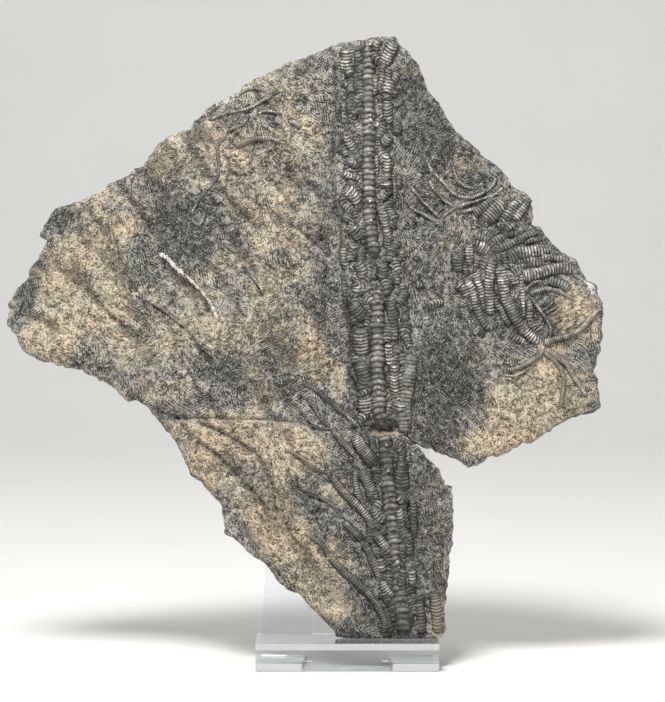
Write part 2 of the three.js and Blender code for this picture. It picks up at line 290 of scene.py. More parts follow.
STEM_SIDES_LOW = [
    (2.3, 0.8, [(13.7, 53), (16.3, 50.2)]),
    (2.1, 0.4, [(13.5, 51.6), (13.6, 48.3)]),
    (4.9, 0.35, [(15.1, 47.9), (15, 44.1), (15.4, 39.9)]),
    (2.8, 0.8, [(13.3, 39.2), (14.9, 38), (16.5, 38.3)]),
    (2.2, 0.35, [(18.2, 39), (18.3, 33.3), (18.4, 26.8)]),
    (3.3, 0.4, [(16.5, 29.6), (17, 25.9), (17.2, 22.1)]),
    (2.8, 0.9, [(17.7, 19.3), (17.9, 16), (18.2, 13.7)]),
    (3.5, 0.3, [(19.3, 13.2), (20, 8.1), (20.7, 0.1)]),
    (3.6, 0.45, [(23.8, 13.4), (24.5, 8.1), (24.7, -0.1)]),
    (1.4, 0.9, [(21.9, 20.7), (22.9, 16)]),
    (2.8, 0.4, [(15.4, 19.8), (14.9, 15.1), (15.1, 11.8)]),
    (3.3, 0.4, [(8.8, 22.6), (9.3, 19.8), (9.7, 17.4)]),
    (2.8, 0.3, [(6.5, 36.2), (8.3, 33.3), (10.7, 31.9)]),
    (2.8, 0.4, [(14, 36.2), (14.9, 32.4), (15.1, 29.6)]),
    (2.3, 0.4, [(14.9, 26.8), (15.4, 23), (15.4, 20.2)]),
]
WORN_COLUMN = [
    (3.9, 0.25, [(18.1, 79.5), (17.4, 73.1), (16.4, 66.5), (16.1, 61.8), (16.1, 55.8)]),
]
LOWER_CIRRI = [
    (1.6, 0.6, [(-12.9, 71.4), (-8.8, 68.9), (-4.8, 65.7), (-0.7, 62.4), (3, 58.7)]),
    (1.2, 0.5, [(-11.3, 67.3), (-7.2, 60.8), (-4.8, 58.4)]),
    (2.1, 0.9, [(-4.8, 58.4), (-2, 55.1), (0.6, 52.3), (2.2, 50.4)]),
    (0.9, 0.6, [(-17.4, 52.3), (-12.9, 50.2), (-8.8, 46.6), (-4.8, 45.5)]),
    (1, 0.5, [(-12.9, 41.3), (-7.2, 38.9), (-3.1, 35.6), (-1.3, 32.6)]),
    (1.6, 0.4, [(-11.7, 29.5), (-9.8, 27.6), (-7.2, 25.9), (-4.8, 22.6)]),
    (1.1, 0.5, [(-6.4, 48.6), (-4.9, 44.8), (-2.4, 41.5)]),
    (1.5, 0.7, [(0.7, 50.4), (1.3, 48.6)]),
    (4, 0.7, [(1.8, 56.8), (3.4, 53.7), (5.8, 50.4), (8.1, 47.6)]),
    (2.3, 0.6, [(3, 46.7), (2.2, 44.1), (2.6, 40.8), (4.1, 37.6)]),
    (3.7, 0.4, [(3.4, 46.9), (5.1, 44.1), (6.7, 40.4), (6.9, 37.6)]),
    (2.6, 0.5, [(-4.8, 45.5), (-2, 41.7), (0.8, 38.5), (3.7, 35.9), (5.8, 32.9), (7.5, 29.4)]),
    (3.1, 1, [(7.3, 29.6), (9.3, 26.6), (11.5, 23.7)]),
    (2.4, 0.7, [(-1.3, 32.6), (1.3, 30), (4.4, 26.8)]),
    (2.6, 0.35, [(4.4, 26.8), (6.1, 23.7), (7.5, 20), (9.3, 16)]),
    (2.9, 0.9, [(9.1, 16.3), (10.7, 13.4), (12.8, 10.9)]),
    (2.3, 0.3, [(-4.8, 22.6), (-2, 19.2), (1.3, 16.3), (4.4, 13.9), (6.7, 11.1), (8.9, 7.8),
        (10.3, 4.3), (9.8, 0.6)]),
]
CROWN_ARMS = [
    (4.4, 0.55, [(38, 115.6), (40.8, 119), (43.4, 121.6), (45.4, 123.6)]),
    (3, 0.5, [(43.6, 116.2), (46.2, 119.8), (48.2, 122.4), (49.2, 124)]),
    (2.8, 0.7, [(46.2, 116.4), (48.4, 119.6), (50.2, 122), (51.3, 123.4)]),
    (2.4, 0.3, [(35.2, 118.2), (36.8, 119.4), (40, 121.8), (42.4, 123.4)]),
    (1.6, 0.4, [(43.6, 113.4), (45.6, 114.6), (48, 116.2)]),
    (2.8, 0.5, [(30.7, 113.6), (32.8, 112.8)]),
    (3.6, 0.5, [(31.2, 108.3), (31.2, 104.9), (31.4, 101.5)]),
    (2.4, 0.6, [(34.4, 110.8), (34.3, 107.3), (34.6, 103.9)]),
    (1.6, 0.4, [(32.8, 106.5), (33, 103.3), (33.6, 100.9)]),
    (3.7, 0.8, [(35.6, 110.2), (38.2, 108.9), (40.9, 107.5)]),
    (2.1, 0.9, [(40.4, 110.4), (42.4, 111.4), (45, 112.8)]),
    (2, 0.4, [(42, 108.3), (44.4, 109.5), (47.6, 111), (51.2, 112.8), (55.4, 114.4)]),
    (1.4, 0.5, [(49, 110.2), (52, 111.2), (56.4, 112)]),
    (3.3, 1, [(44.2, 105.5), (46.4, 106.5), (48.4, 107.5), (52, 107.9), (55.2, 108.5), (58.2, 109.3)]),
    (2.1, 0.6, [(46.4, 104.5), (50.4, 105.5), (54.4, 106.1), (58.4, 106.1), (62.5, 105.1)]),
    (1.8, 0.5, [(46.4, 103.3), (49.6, 104.1), (52.8, 104.5), (56, 104.5)]),
    (3.1, 0.95, [(48.4, 100.9), (51.2, 101.3), (54.4, 102.1), (58.4, 103.1), (61.7, 103.2),
        (64.7, 102.9)]),
    (2.6, 0.95, [(55.8, 100.1), (58.4, 99.3), (60.9, 98.1), (62.7, 96.7)]),
    (2.3, 0.6, [(33.2, 100.5), (35.4, 96.1), (36.4, 92.1), (37.6, 88.9), (39.8, 86.7), (42.2, 88.3)]),
    (2.4, 0.5, [(31.2, 100.5), (32.8, 96.9), (34, 94.5)]),
    (2, 0.6, [(35.6, 102.9), (37, 98.1), (37.8, 94.5), (38.6, 91.1)]),
    (2.9, 0.7, [(41.4, 106.5), (40.4, 103.3), (39.8, 99.3), (39.8, 95.3), (39.9, 92.1), (40.1, 89.5)]),
    (1.8, 0.3, [(41.2, 95.3), (42.8, 92.1), (44.4, 88.9), (45.8, 86.5)]),
    (3.1, 0.8, [(42.8, 104.9), (43.6, 100.1), (44.2, 96.1), (45.7, 92.1), (47.4, 88.7), (49.4, 86.1),
        (51.6, 83.7), (54.8, 82.5)]),
    (1.8, 0.4, [(43.6, 108.5), (44.2, 106.1), (44.4, 103.3)]),
    (1.4, 0.9, [(48.4, 102.3), (49, 97.7), (49, 93.7), (49.7, 88.7)]),
    (2.5, 0.7, [(46.2, 101.5), (47, 99.7), (47.4, 97.9)]),
    (1.6, 0.5, [(46.4, 96.9), (46, 93.7), (46.8, 90.9)]),
    (2, 0.7, [(50.6, 94.5), (51, 92.1), (51.1, 87.9)]),
    (2.6, 1, [(47.6, 86.7), (48.8, 85.9), (50.4, 84.5)]),
    (2.1, 0.9, [(45, 84.7), (47.6, 83.3), (50.6, 82.1)]),
    (1.8, 0.8, [(36.4, 85.5), (38.6, 84.1)]),
]
SLENDER_CIRRI = [
    (1.4, 0.7, [(51, 95.9), (52.8, 96.6), (56, 97.4), (59.3, 96.5), (61.7, 95.1), (63.9, 93.9)]),
    (1.1, 0.6, [(51.2, 95.3), (53.2, 92.1), (55.6, 88.9), (56.7, 86.1), (56.5, 82.7), (55.2, 80.6)]),
    (1.6, 0.7, [(55.2, 80.6), (52.8, 78), (49.6, 76), (46.2, 74.5), (43.8, 74.9)]),
    (1.7, 0.75, [(54.4, 82.1), (57.6, 82.9), (61.7, 83.9), (64.9, 85.7), (67.7, 88.5), (70.5, 91.6),
        (71.8, 93.3)]),
    (1.8, 0.8, [(54.6, 80.4), (58.4, 78.2), (61.3, 75.6), (63.3, 72.4), (65.3, 69.2), (67, 66.8)]),
    (1.4, 0.5, [(54.4, 79.6), (57.6, 77.4), (59.7, 74.4), (60.3, 70.8), (59.9, 66.8), (58.6, 63.2)]),
]
FINE_ARMS = [
    (1, 0.55, [(22.8, 134.3), (24.2, 130.9), (27.3, 127.6), (30.9, 124.2), (35.1, 123.6),
        (39.1, 125.3), (41.3, 127.6), (41.9, 129.5)]),
    (1, 0.55, [(29.2, 134), (30.1, 130.9), (31.5, 127.9), (33.7, 126.5), (36, 126.2)]),
    (1, 0.55, [(23, 128.7), (25, 125.3), (27.3, 122.8), (30.1, 120.8)]),
    (1, 0.55, [(18, 126.7), (20.5, 123.4), (23.6, 120), (26.4, 117.7)]),
    (0.9, 0.55, [(16.3, 122.8), (18.5, 120.3), (21.6, 118.6), (25.3, 116.6)]),
    (1, 0.55, [(26.4, 117.7), (30.1, 120.3), (33.7, 121.7), (37.4, 122.8), (41.3, 124.2), (44.1, 126.5)]),
    (1, 0.55, [(31.8, 119.1), (36, 120.3), (39.6, 122), (43.6, 123.9)]),
    (0.9, 0.4, [(49.6, 96.5), (51.4, 98.5), (53.2, 99.6), (54.8, 99.4), (56, 97.9)]),
    (0.6, 0.5, [(43.6, 73.3), (46.4, 72.6), (49.2, 74), (51.4, 75.4)]),
    (0.7, 0.9, [(34, 89.9), (34.6, 86.1), (35.6, 81.7), (37.1, 78.2)]),
    (0.6, 0.8, [(41.1, 82.7), (41.4, 78.6)]),
    (0.6, 0.5, [(43.8, 72.6), (46.4, 71.2), (48.6, 69.2)]),
    (0.6, 0.4, [(52.8, 92.1), (56.4, 94.7)]),
    (0.6, 0.4, [(54, 90.9), (58, 93.7)]),
    (0.6, 0.4, [(55.2, 90.1), (59.3, 92.7)]),
    (0.6, 0.4, [(56.4, 89.5), (60.3, 92.1)]),
]
LEFT_STRANDS = [
    (1, 0.4, [(-34, 141.1), (-36.2, 138.8), (-36.5, 136.3), (-36, 131.5), (-37.1, 128.7), (-39.9, 125),
        (-42.7, 121.1), (-43.3, 118.6), (-43, 116.6), (-41.3, 115.8), (-40.2, 117.7), (-40.2, 119.1),
        (-41.6, 120.5)]),
    (0.9, 0.4, [(-39.3, 145.6), (-34.8, 147.5), (-29.5, 148.6), (-25.9, 150.1), (-23, 152),
        (-19.4, 153.7)]),
    (0.8, 0.4, [(-32, 152), (-28.1, 154.6), (-25, 154.8), (-22.8, 153.4)]),
    (0.8, 0.4, [(-25, 147), (-24.2, 148.1), (-21.6, 148.4), (-19.1, 147.5)]),
    (1.1, 0.4, [(-34, 142.2), (-32, 143.6), (-29.5, 144.2), (-28.1, 145)]),
    (1.7, 0.4, [(-31.5, 138), (-28.1, 139.7), (-24.4, 140.5), (-21.4, 140.5), (-18.5, 139.1)]),
    (1.7, 0.4, [(-16, 145.6), (-14.3, 144.7), (-12.6, 143.3)]),
    (1, 0.4, [(-19.4, 135.4), (-18.5, 137.1), (-16.9, 137.4), (-15.5, 136.3), (-15.5, 134.6),
        (-16.9, 133.5), (-18.5, 134)]),
    (0.8, 0.4, [(-66.6, 118.6), (-66, 113), (-64.3, 107.3)]),
    (1.1, 0.4, [(-29.5, 103.1), (-26.4, 100.9), (-24.2, 98.1), (-23.3, 95.8)]),
    (1, 0.4, [(-18.3, 109.9), (-16.9, 107.9), (-15.2, 104.8)]),
    (1.1, 0.4, [(-54, 93.3), (-51.4, 91.6), (-48.9, 89.4), (-45.5, 86.8)]),
]
WHITE_RIDGE = [
    (-52.3, 107.1), (-50, 105.7), (-48.1, 103.4), (-45.5, 101.2), (-43, 98.9), (-40.5, 96.4),
    (-38.5, 93.9), (-37.1, 91), (-36.2, 88.8),
]
SMOOTH_BAND = [
    (-3.4, 161.3), (-2.7, 153.1), (-3.4, 142), (-4.3, 132.1), (-3.4, 125), (-1.3, 111.1),
    (-0.6, 96.4), (1.1, 85.7), (1.4, 75), (3.7, 64.6), (6.7, 59.9),
]
LOWER_BAND = [
    (16, 50.4), (16.6, 38.5), (17.5, 29.1), (18.2, 21.6), (19.3, 10.4), (20.3, 0),
]
FRACTURE = [
    (-53.1, 63.5), (-48.3, 61.5), (-37.1, 61), (-24.4, 60.7), (-13.8, 60), (-7.3, 57.6), (0.8, 57.9),
    (5.9, 59), (16, 57), (16.9, 56.2),
]
print("hand-drawn fossil pieces:", sum(map(len, (
    STEM_SIDES_TOP, STEM_SIDES_MIDDLE, STEM_SIDES_LOW, WORN_COLUMN, LOWER_CIRRI, CROWN_ARMS,
    SLENDER_CIRRI, FINE_ARMS, LEFT_STRANDS))))

# %% [markdown]
# ## The shape of the face
#
# The face is one height for each point of the plane. The broad part holds the slow swells,
# the raised band along the stem, the falling margin, the old break that crosses the slab and
# the step where its two halves don't quite meet. Lumps and wrinkles lie over that, and last
# comes the split grain of the shale. Fossil pieces are laid on the broad part and the lumps
# but not on the grain, so they don't jitter.

# %% Height of the slab's face, in mm
DARK_GROOVES = [
    [(-28.9, 103.4), (-25.3, 99.5), (-23.6, 95.8)],
    [(-16.9, 116.3), (-13.5, 114.4), (-10.7, 112.1), (-9.3, 110.2), (-7, 111.6), (-4.2, 113.5)],
    [(-67.4, 115.8), (-65.2, 111.6), (-64.3, 108.5), (-63.2, 105.7)],
    [(-58.2, 120), (-55.9, 115.8), (-54, 112.7)],
    [(-54, 92.4), (-49.7, 90.2), (-46.1, 86.8), (-43.3, 84), (-41, 80.4), (-37.7, 77.6), (-35.4, 74.5)],
    [(-35.4, 85.4), (-36, 78.1), (-34, 72.5)],
    [(-22.2, 41.9), (-19.4, 35.7), (-16.3, 30.1), (-14, 25.9)],
    [(-14, 41.9), (-10.1, 39.1), (-4.8, 37.4)],
    [(-41.3, 60), (-33, 56), (-25.1, 51.1), (-20.2, 41.3), (-14.5, 32.4)],
    [(-41.3, 54.3), (-36.4, 51.1), (-30.7, 45.4), (-25.9, 40.5), (-21.8, 35.6)],
    [(-19, 70), (-12.9, 62.5), (-8, 56.5)],
]
CUTS = [
    # line, depth, reach to each side
    (FRACTURE, 0.8, 0.33), (SMOOTH_BAND, 0.9, 0.8), (LOWER_BAND, 0.6, 0.6),
    *((line, 0.75, 0.42) for line in DARK_GROOVES),
]
BAND_HEIGHT, BAND_REACH = 1.1, 10.0
RIDGE_HEIGHT, RIDGE_REACH = 0.8, 1.1
SLOW_SWELL, QUICK_SWELL = 0.5, 0.25
MARGIN = 4.0
STEP_LINE = [(-60, 64.5), (-54, 63.5), (-48.3, 61.5), (-37, 61)]
STEP_HEIGHT = 0.9
CHIP_CENTRE, CHIP_RADII, CHIP_DEPTH = (10.6, 58.0), (5.4, 2.3), 2.6
LUMPS, GRAIN, FOLDS = 0.3, 0.2, 0.36


def near(u, v, line, reach):
    """1 on a line, falling softly to nothing over about twice `reach` mm."""
    return np.exp(-(distance_to(u, v, line) / reach) ** 2)


def chip_depth(u, v):
    """The hollow at the stem's break, steep on its left."""
    x, y = (u - CHIP_CENTRE[0]) / CHIP_RADII[0], (v - CHIP_CENTRE[1]) / CHIP_RADII[1]
    return CHIP_DEPTH * (1 - ramp(x ** 2 + y ** 2, 0.15, 1.15)) * (1 - 0.5 * ramp(x, 0, 1))


def broad_height(u, v):
    slow = SLOW_SWELL * np.sin(u / 23 + 1.1) * np.cos(v / 31 + 0.4)
    quick = QUICK_SWELL * np.sin(u / 9.7 + v / 13.1)
    band = BAND_HEIGHT * near(u, v, STEM_LINE, BAND_REACH)
    ridge = RIDGE_HEIGHT * near(u, v, WHITE_RIDGE, RIDGE_REACH)
    width = MARGIN * (0.55 + 0.45 * noise(u, v, 9, 3))
    margin = (1 - ramp(to_edge(u, v), 0, width)) * (0.75 + 0.55 * noise(u, v, 5, 4))
    below = 1 - ramp(v - np.interp(u, *zip(*STEP_LINE)), -0.5, 0.3)
    step = STEP_HEIGHT * below * (1 - ramp(u, -50, -30)) * ramp(v, 40, 58)
    cuts = sum(depth * near(u, v, line, reach) for line, depth, reach in CUTS)
    return slow + quick + band + ridge - margin - step - cuts - chip_depth(u, v)


def wrinkles(u, v):
    """Long low folds that run down to the right over the stone left of the stem."""
    sway = 5 * noise(u, v, 30, 91)
    along, beside = 0.64 * u - 0.77 * v, 0.77 * u + 0.64 * v + sway
    folds = noise(along / 7, beside, 2.3, 92) + 0.6 * noise(along / 5, beside, 1.2, 93)
    return folds * (1 - ramp(u, -12, 2))


def lump_height(u, v):
    return LUMPS * layered_noise(u, v, 6.0, 3, shift=10) + FOLDS * wrinkles(u, v)


def fine_height(u, v):
    return lump_height(u, v) + GRAIN * layered_noise(u, v, 1.5, 3, shift=20, fade=0.75)


probe = np.array([(8, 90), (-60, 100), (-90, 90), (50, 65)], dtype=float).T
print("face height at four places, mm:", np.round(broad_height(*probe), 2))

# %% [markdown]
# ## Where the stone is tan
#
# The shale is dark grey inside and weathers to a sandy tan where thin layers have come off.
# The tan areas are soft-edged islands, so a short list of ovals holds them, and noise frays
# their edges. The same function colours the stone and the fossils, so a tan island runs
# over both.

# %% Tan, white and dark areas, with painted shade in grooves, folds and the crack
OVAL_CORE, OVAL_EDGE = 0.45, 1.45
TAN_EVERYWHERE, TAN_ON_LEFT = 0.13, 0.25
TAN_FRAY = 0.2
DARK_OVER_TAN = 0.5
TAN_OVALS = [
    # centre u, v, radii, turn in degrees, strength
    (-74, 98, 15, 17, 20, 0.95), (-66, 112, 9, 7, 30, 0.9), (-84, 84, 10, 7, 15, 1.0),
    (-52.5, 134.6, 7, 5, 35, 0.85), (-30, 139, 12, 10, 20, 0.7), (-14, 140, 8, 10, 0, 0.72),
    (-21, 117, 12, 12, 0, 0.52), (-22, 92, 14, 16, 0, 0.52), (-10, 80, 5, 10, 15, 1.0),
    (-33, 104, 8, 8, 0, 0.55), (-38, 84, 9, 8, 0, 0.6), (-58, 84, 14, 8, -20, 0.65),
    (-17.4, 52, 12, 9, 0, 1.05), (-34, 56, 13, 9, -35, 0.85), (-40, 47, 8, 7, -45, 0.9),
    (-19, 31, 24, 9, -50, 0.95), (-8, 12, 12, 6, -45, 0.85), (-3, 40, 5, 6, -50, 0.75),
    (-3, 24, 6, 4, -50, 0.8), (-2.5, 72, 2.6, 8, 8, 0.8), (52.5, 66, 16, 11, 20, 1.1),
    (64, 90, 7, 10, 10, 1.0), (44, 55, 13, 5, 10, 0.95), (58, 80, 6, 5, 0, 0.75),
    (33.5, 135, 8, 6, 40, 0.6), (26.5, 128, 4, 5, 40, 0.6), (24.5, 44, 4, 9, 0, 0.7),
    (26, 22, 3, 14, 0, 0.5), (24.6, 7, 2.6, 8, 0, 0.8), (19, 158, 2.8, 5, 25, 0.8),
    (10.6, 56.8, 4.5, 1.6, 0, 1.0), (31, 148, 2, 4, 30, 0.4),
]
WHITE_OVALS = [
    (-58.7, 97.2, 4.2, 2.8, -15, 0.7), (-45, 73.6, 2.2, 5.4, 20, 0.55), (-51, 86, 1.6, 5, 20, 0.5),
    (68, 98, 4, 1.1, -60, 0.9), (-33, 31, 3.5, 0.9, -45, 0.8), (28, 22, 0.8, 12, 3, 0.5),
    (-22, 111, 1.2, 4.5, 25, 0.6), (-5.5, 93.7, 0.7, 2.6, 20, 0.8), (30, 55.5, 4.2, 1.6, 35, 0.7),
    (-37, 92, 1.2, 3, 20, 0.55), (-32.5, 152.5, 6, 1, 30, 0.7), (70, 90, 1.2, 5, 0, 0.6),
]
# Darker stone in each oval; the one at (44, 100) is also painted shade between the crown's arms.
DARK_OVALS = [
    (-46, 115, 11, 12, 0, 0.8), (-57, 106, 4, 10, 20, 0.5), (26, 71, 10, 14, 0, 0.75),
    (8, 9, 5, 9, 10, 0.6), (44, 100, 13, 16, 0, 0.75), (32, 130, 10, 10, 40, 0.45),
    (-81, 118, 6, 5, 0, 0.9), (-90, 96, 3, 5, 0, 0.8), (-12, 38, 4, 9, 35, 0.6),
    (-35, 74, 8, 5, -20, 0.6), (-48, 63, 6, 3, 0, 0.7), (38, 91, 8, 7, 0, 0.5),
    (-7, 98, 3, 22, 0, 0.5), (8, 100, 10, 60, 0, 0.35), (60, 84, 3, 6, 0, 0.5),
    (-13, 131, 4, 6, 0, 0.4), (-24, 41, 3, 12, 40, 0.6), (22, 146, 8, 18, 20, 0.85),
    (22, 120, 7, 10, 0, 0.5), (22, 30, 6, 22, 0, 0.5), (-60, 96, 3, 6, 30, 0.4),
    (10, 30, 12, 26, 10, 0.5), (-8, 33, 5, 9, 40, 0.4), (-2, 44, 4, 6, 0, 0.3),
]


def ovals(u, v, table):
    """How far inside the soft ovals each point lies, 0 to the strongest oval's strength."""
    most = np.zeros(np.shape(u))
    for cu, cv, ru, rv, turn, strength in table:
        c, s = math.cos(math.radians(turn)), math.sin(math.radians(turn))
        x, y = u - cu, v - cv
        r = np.hypot((c * x + s * y) / ru, (c * y - s * x) / rv)
        most = np.maximum(most, strength * (1 - ramp(r, OVAL_CORE, OVAL_EDGE)))
    return most


def tan_amount(u, v):
    everywhere = TAN_EVERYWHERE + TAN_ON_LEFT * (1 - ramp(u, -14, 0))
    frayed = np.maximum(ovals(u, v, TAN_OVALS), everywhere)
    frayed = frayed + TAN_FRAY * layered_noise(u, v, 8, 4, shift=30, fade=0.75)
    return np.clip(frayed - DARK_OVER_TAN * ovals(u, v, DARK_OVALS), 0, 1)


def white_amount(u, v):
    ridge = 0.5 * near(u, v, WHITE_RIDGE, 0.6)
    flecked = ovals(u, v, WHITE_OVALS) * (0.75 + 0.5 * noise(u, v, 1.4, 41))
    return np.clip(np.maximum(ridge * (0.8 + 0.5 * noise(u, v, 1.6, 42)), flecked), 0, 1)


# Darker stone in the dark ovals, with painted shade along the cut grooves, in the troughs of the folds
# and along the crack.
def dark_stone_and_shade(u, v):
    grooves = np.zeros(np.shape(u))
    for line in [*DARK_GROOVES, SMOOTH_BAND, LOWER_BAND]:
        grooves = np.maximum(grooves, near(u, v, line, 0.65))
    grooves = np.maximum(grooves, 0.7 * ramp(-wrinkles(u, v), 0.25, 0.9))
    crack = 0.9 * near(u, v, FRACTURE, 0.35)
    clouds = ovals(u, v, DARK_OVALS) + 0.15 * layered_noise(u, v, 9, 3, shift=50)
    return np.clip(np.maximum(np.maximum(clouds, crack), grooves), 0, 1)


print("tan at four places:", np.round(tan_amount(*probe), 2))

# %% [markdown]
# ## The slab's mesh
#
# A displaced plane can't be used here, because the slab needs ragged sides and a back. So
# the mesh is one closed skin: the front is a fine triangulation bounded by the ragged
# outline, seven rings of points step down the broken side, and a coarser triangulation
# closes the back. `delaunay_2d_cdt` fills both faces and keeps the outline's own edges.

# %% The ragged outline
OUTLINE_STEP = 0.6


def even_steps(line, step):
    """The same closed line with a point every `step` mm, and each point's place along it."""
    closed = np.vstack([line, line[:1]])
    run = np.concatenate([[0], np.cumsum(np.hypot(*np.diff(closed, axis=0).T))])
    where = np.linspace(0, run[-1], int(run[-1] / step), endpoint=False)
    return np.column_stack([np.interp(where, run, closed[:, k]) for k in (0, 1)]), where


def outward(line, reach):
    """Directions out of a closed line, averaged over `reach` points each way."""
    along = np.roll(line, -reach, axis=0) - np.roll(line, reach, axis=0)
    normal = np.column_stack([-along[:, 1], along[:, 0]])
    return normal / np.linalg.norm(normal, axis=1)[:, None]


rim, rim_run = even_steps(outline, OUTLINE_STEP)
raggedness = 0.34 * noise(rim_run, 0, 2.6, 5) + 0.22 * noise(rim_run, 9, 1.1, 6)
raggedness *= ramp(rim[:, 1], 0.2, 2.5)
rim = rim + outward(rim, 2) * raggedness[:, None]
print(f"rim: {len(rim)} points, {rim_run[-1]:.0f} mm round")

# %% Front, sides and back as one skin
GRID_FRONT, GRID_BACK = 0.49, 2.2
FRONT_CLEARANCE, BACK_CLEARANCE = 0.75, 3.9
RING_DEPTHS = [0.05, 0.14, 0.27, 0.42, 0.58, 0.74, 0.88]
RING_OFFSETS = [0.12, 0.2, 0.0, 0.25, -0.3, -0.5, -1.3]
BACK_INSET = 2.3
BACK_BEVEL, BACK_BEVEL_WIDTH = 3.0, 8
PLATE_REACH_U, PLATE_REACH_V = 29.0, 82.0
SAME_POINT = 1e-6


def back_height(u, v):
    """The rough back, kept level where the easel's plate touches it."""
    rough = 0.8 + 0.5 * layered_noise(u, v, 13, 4, shift=60)
    on_plate = (np.abs(u) < PLATE_REACH_U) & (v < PLATE_REACH_V)
    rise = BACK_BEVEL * (1 - ramp(to_edge(u, v), 0, BACK_BEVEL_WIDTH))
    return -SLAB_THICKNESS + np.where(on_plate, 0.05, np.maximum(rough, 0.05)) + rise


def fill(border, spacing, clearance):
    """Triangulate a closed border, with a honeycomb of points inside it."""
    low, high = border.min(axis=0), border.max(axis=0)
    rows = np.arange(low[1], high[1], spacing * math.sqrt(0.75))
    u, v = np.meshgrid(np.arange(low[0], high[0], spacing), rows)
    u[1::2] += spacing / 2
    u, v = u.ravel(), v.ravel()
    keep = inside(u, v, outline) & (to_edge(u, v) > clearance)
    points = np.vstack([border, np.column_stack([u[keep], v[keep]])])
    loop = [list(range(len(border)))[::-1]]
    found = delaunay_2d_cdt([Vector(p) for p in points], [], loop, 1, SAME_POINT, True)
    spots, _, faces, first_of = found[:4]
    flat = np.array([(p.x, p.y) for p in spots])
    within = inside(*flat[np.array(faces)].mean(axis=1).T, border)
    source = [origins[0] if origins else -1 for origins in first_of]
    return flat, [tuple(f) for f, keep in zip(faces, within) if keep], source


front, front_faces, front_source = fill(rim, GRID_FRONT, FRONT_CLEARANCE)
back_rim = rim - outward(rim, 8) * BACK_INSET
back, back_faces, back_source = fill(back_rim, GRID_BACK, BACK_CLEARANCE)
print(f"front {len(front_faces)} triangles, back {len(back_faces)} triangles")

# %% Joining the skin
PIT_DEPTH = 0.32
PALE_EDGE_LEVEL = -0.8


def ring_points(depth, offset, rim_top, rim_low):
    """One ring of the broken side, `depth` of the way from the face to the back."""
    rough = 0.45 * noise(rim_run, depth * 40, 3.1, 8) + 0.3 * noise(rim_run, depth * 70, 1.2, 9)
    ring = rim + outward(rim, 5) * (offset + rough * ramp(depth, 0, 0.2))[:, None]
    level = rim_top * (1 - depth) + rim_low * depth + 0.3 * noise(rim_run, depth * 50, 4, 10)
    return np.column_stack([ring, level])


def slab_skin():
    """Points and faces of the closed slab, in the slab's plane."""
    count = len(rim)
    heights = broad_height(*front.T) + fine_height(*front.T)
    in_front = {s: k for k, s in enumerate(front_source) if 0 <= s < count}
    in_back = {s: k for k, s in enumerate(back_source) if 0 <= s < count}
    rim_top = heights[[in_front[i] for i in range(count)]]
    rim_low = back_height(*back_rim.T)
    points = [np.column_stack([front, heights])]
    points += [ring_points(*ring, rim_top, rim_low) for ring in zip(RING_DEPTHS, RING_OFFSETS)]
    points.append(np.column_stack([back, back_height(*back.T)]))
    starts = np.cumsum([0] + [len(p) for p in points])
    loops = [[in_front[i] for i in range(count)]]
    loops += [list(range(start, start + count)) for start in starts[1:-2]]
    loops.append([starts[-2] + in_back[i] for i in range(count)])
    faces = list(front_faces)
    for upper, lower in zip(loops[:-1], loops[1:]):
        for i in range(count):
            j = (i + 1) % count
            faces.append((upper[i], upper[j], lower[j], lower[i]))
    faces += [tuple(starts[-2] + k for k in reversed(f)) for f in back_faces]
    return np.vstack(points), faces


def stand_on_shelf(spots):
    """Flatten whatever would reach under the shelf's clearance plane."""
    spots[:, 2] = np.maximum(spots[:, 2], foot[2])
    return spots


def store_marks(piece, red, green, blue):
    """Keep three numbers for each point as one colour that the material reads."""
    marks = piece.data.color_attributes.new("marks", "FLOAT_COLOR", "POINT")
    values = np.ones((len(piece.data.vertices), 4), dtype=np.float32)
    for channel, amount in enumerate((red, green, blue)):
        values[:, channel] = amount
    marks.data.foreach_set("color", values.ravel())


def make_slab():
    skin, faces = slab_skin()
    mesh = bpy.data.meshes.new("shale_slab")
    mesh.from_pydata(stand_on_shelf(place(*skin.T)).tolist(), [], faces)
    mesh.validate()
    mesh.shade_smooth()
    piece = show("shale_slab", mesh)
    u, v, w = skin.T
    on_face = np.arange(len(skin)) < len(front)
    # The third mark is painted shade in the low pits of the grain, joined with darker stone and the
    # painted shade of the grooves and the crack; on the sides it is halved.
    painted_pit_shade = np.clip(-fine_height(u, v) / PIT_DEPTH, 0, 1)
    # A pale band runs round the broken side just below the face: part pale broken stone, part painted
    # edge highlight.
    pale_edge = 1 - ramp(np.abs(w - PALE_EDGE_LEVEL), 0.4, 1.6)
    pale_edge *= 1 - ramp(to_edge(u, v), 0.2, 0.9)
    stone_dark_and_shade = 1 - (1 - 0.4 * painted_pit_shade) * (1 - 0.5 * dark_stone_and_shade(u, v))
    tan = np.where(on_face, tan_amount(u, v), 0.35 + 0.3 * noise(u, v, 11, 70))
    white = np.maximum(white_amount(u, v) * on_face, 0.4 * pale_edge)
    store_marks(piece, tan, white, stone_dark_and_shade * np.where(on_face, 1, 0.5))
    print(f"slab skin: {len(skin)} points, {len(faces)} faces")
    return piece


slab = make_slab()

# %% [markdown]
# ## A short way to write nodes
#
# Materials and the growing of joints are both trees of nodes. Written out link by link they
# are hard to read, so `Value` wraps one output and lets formulas be written with signs such
# as + and *, and `Graph.node` adds any other node from its kind, settings and inputs.

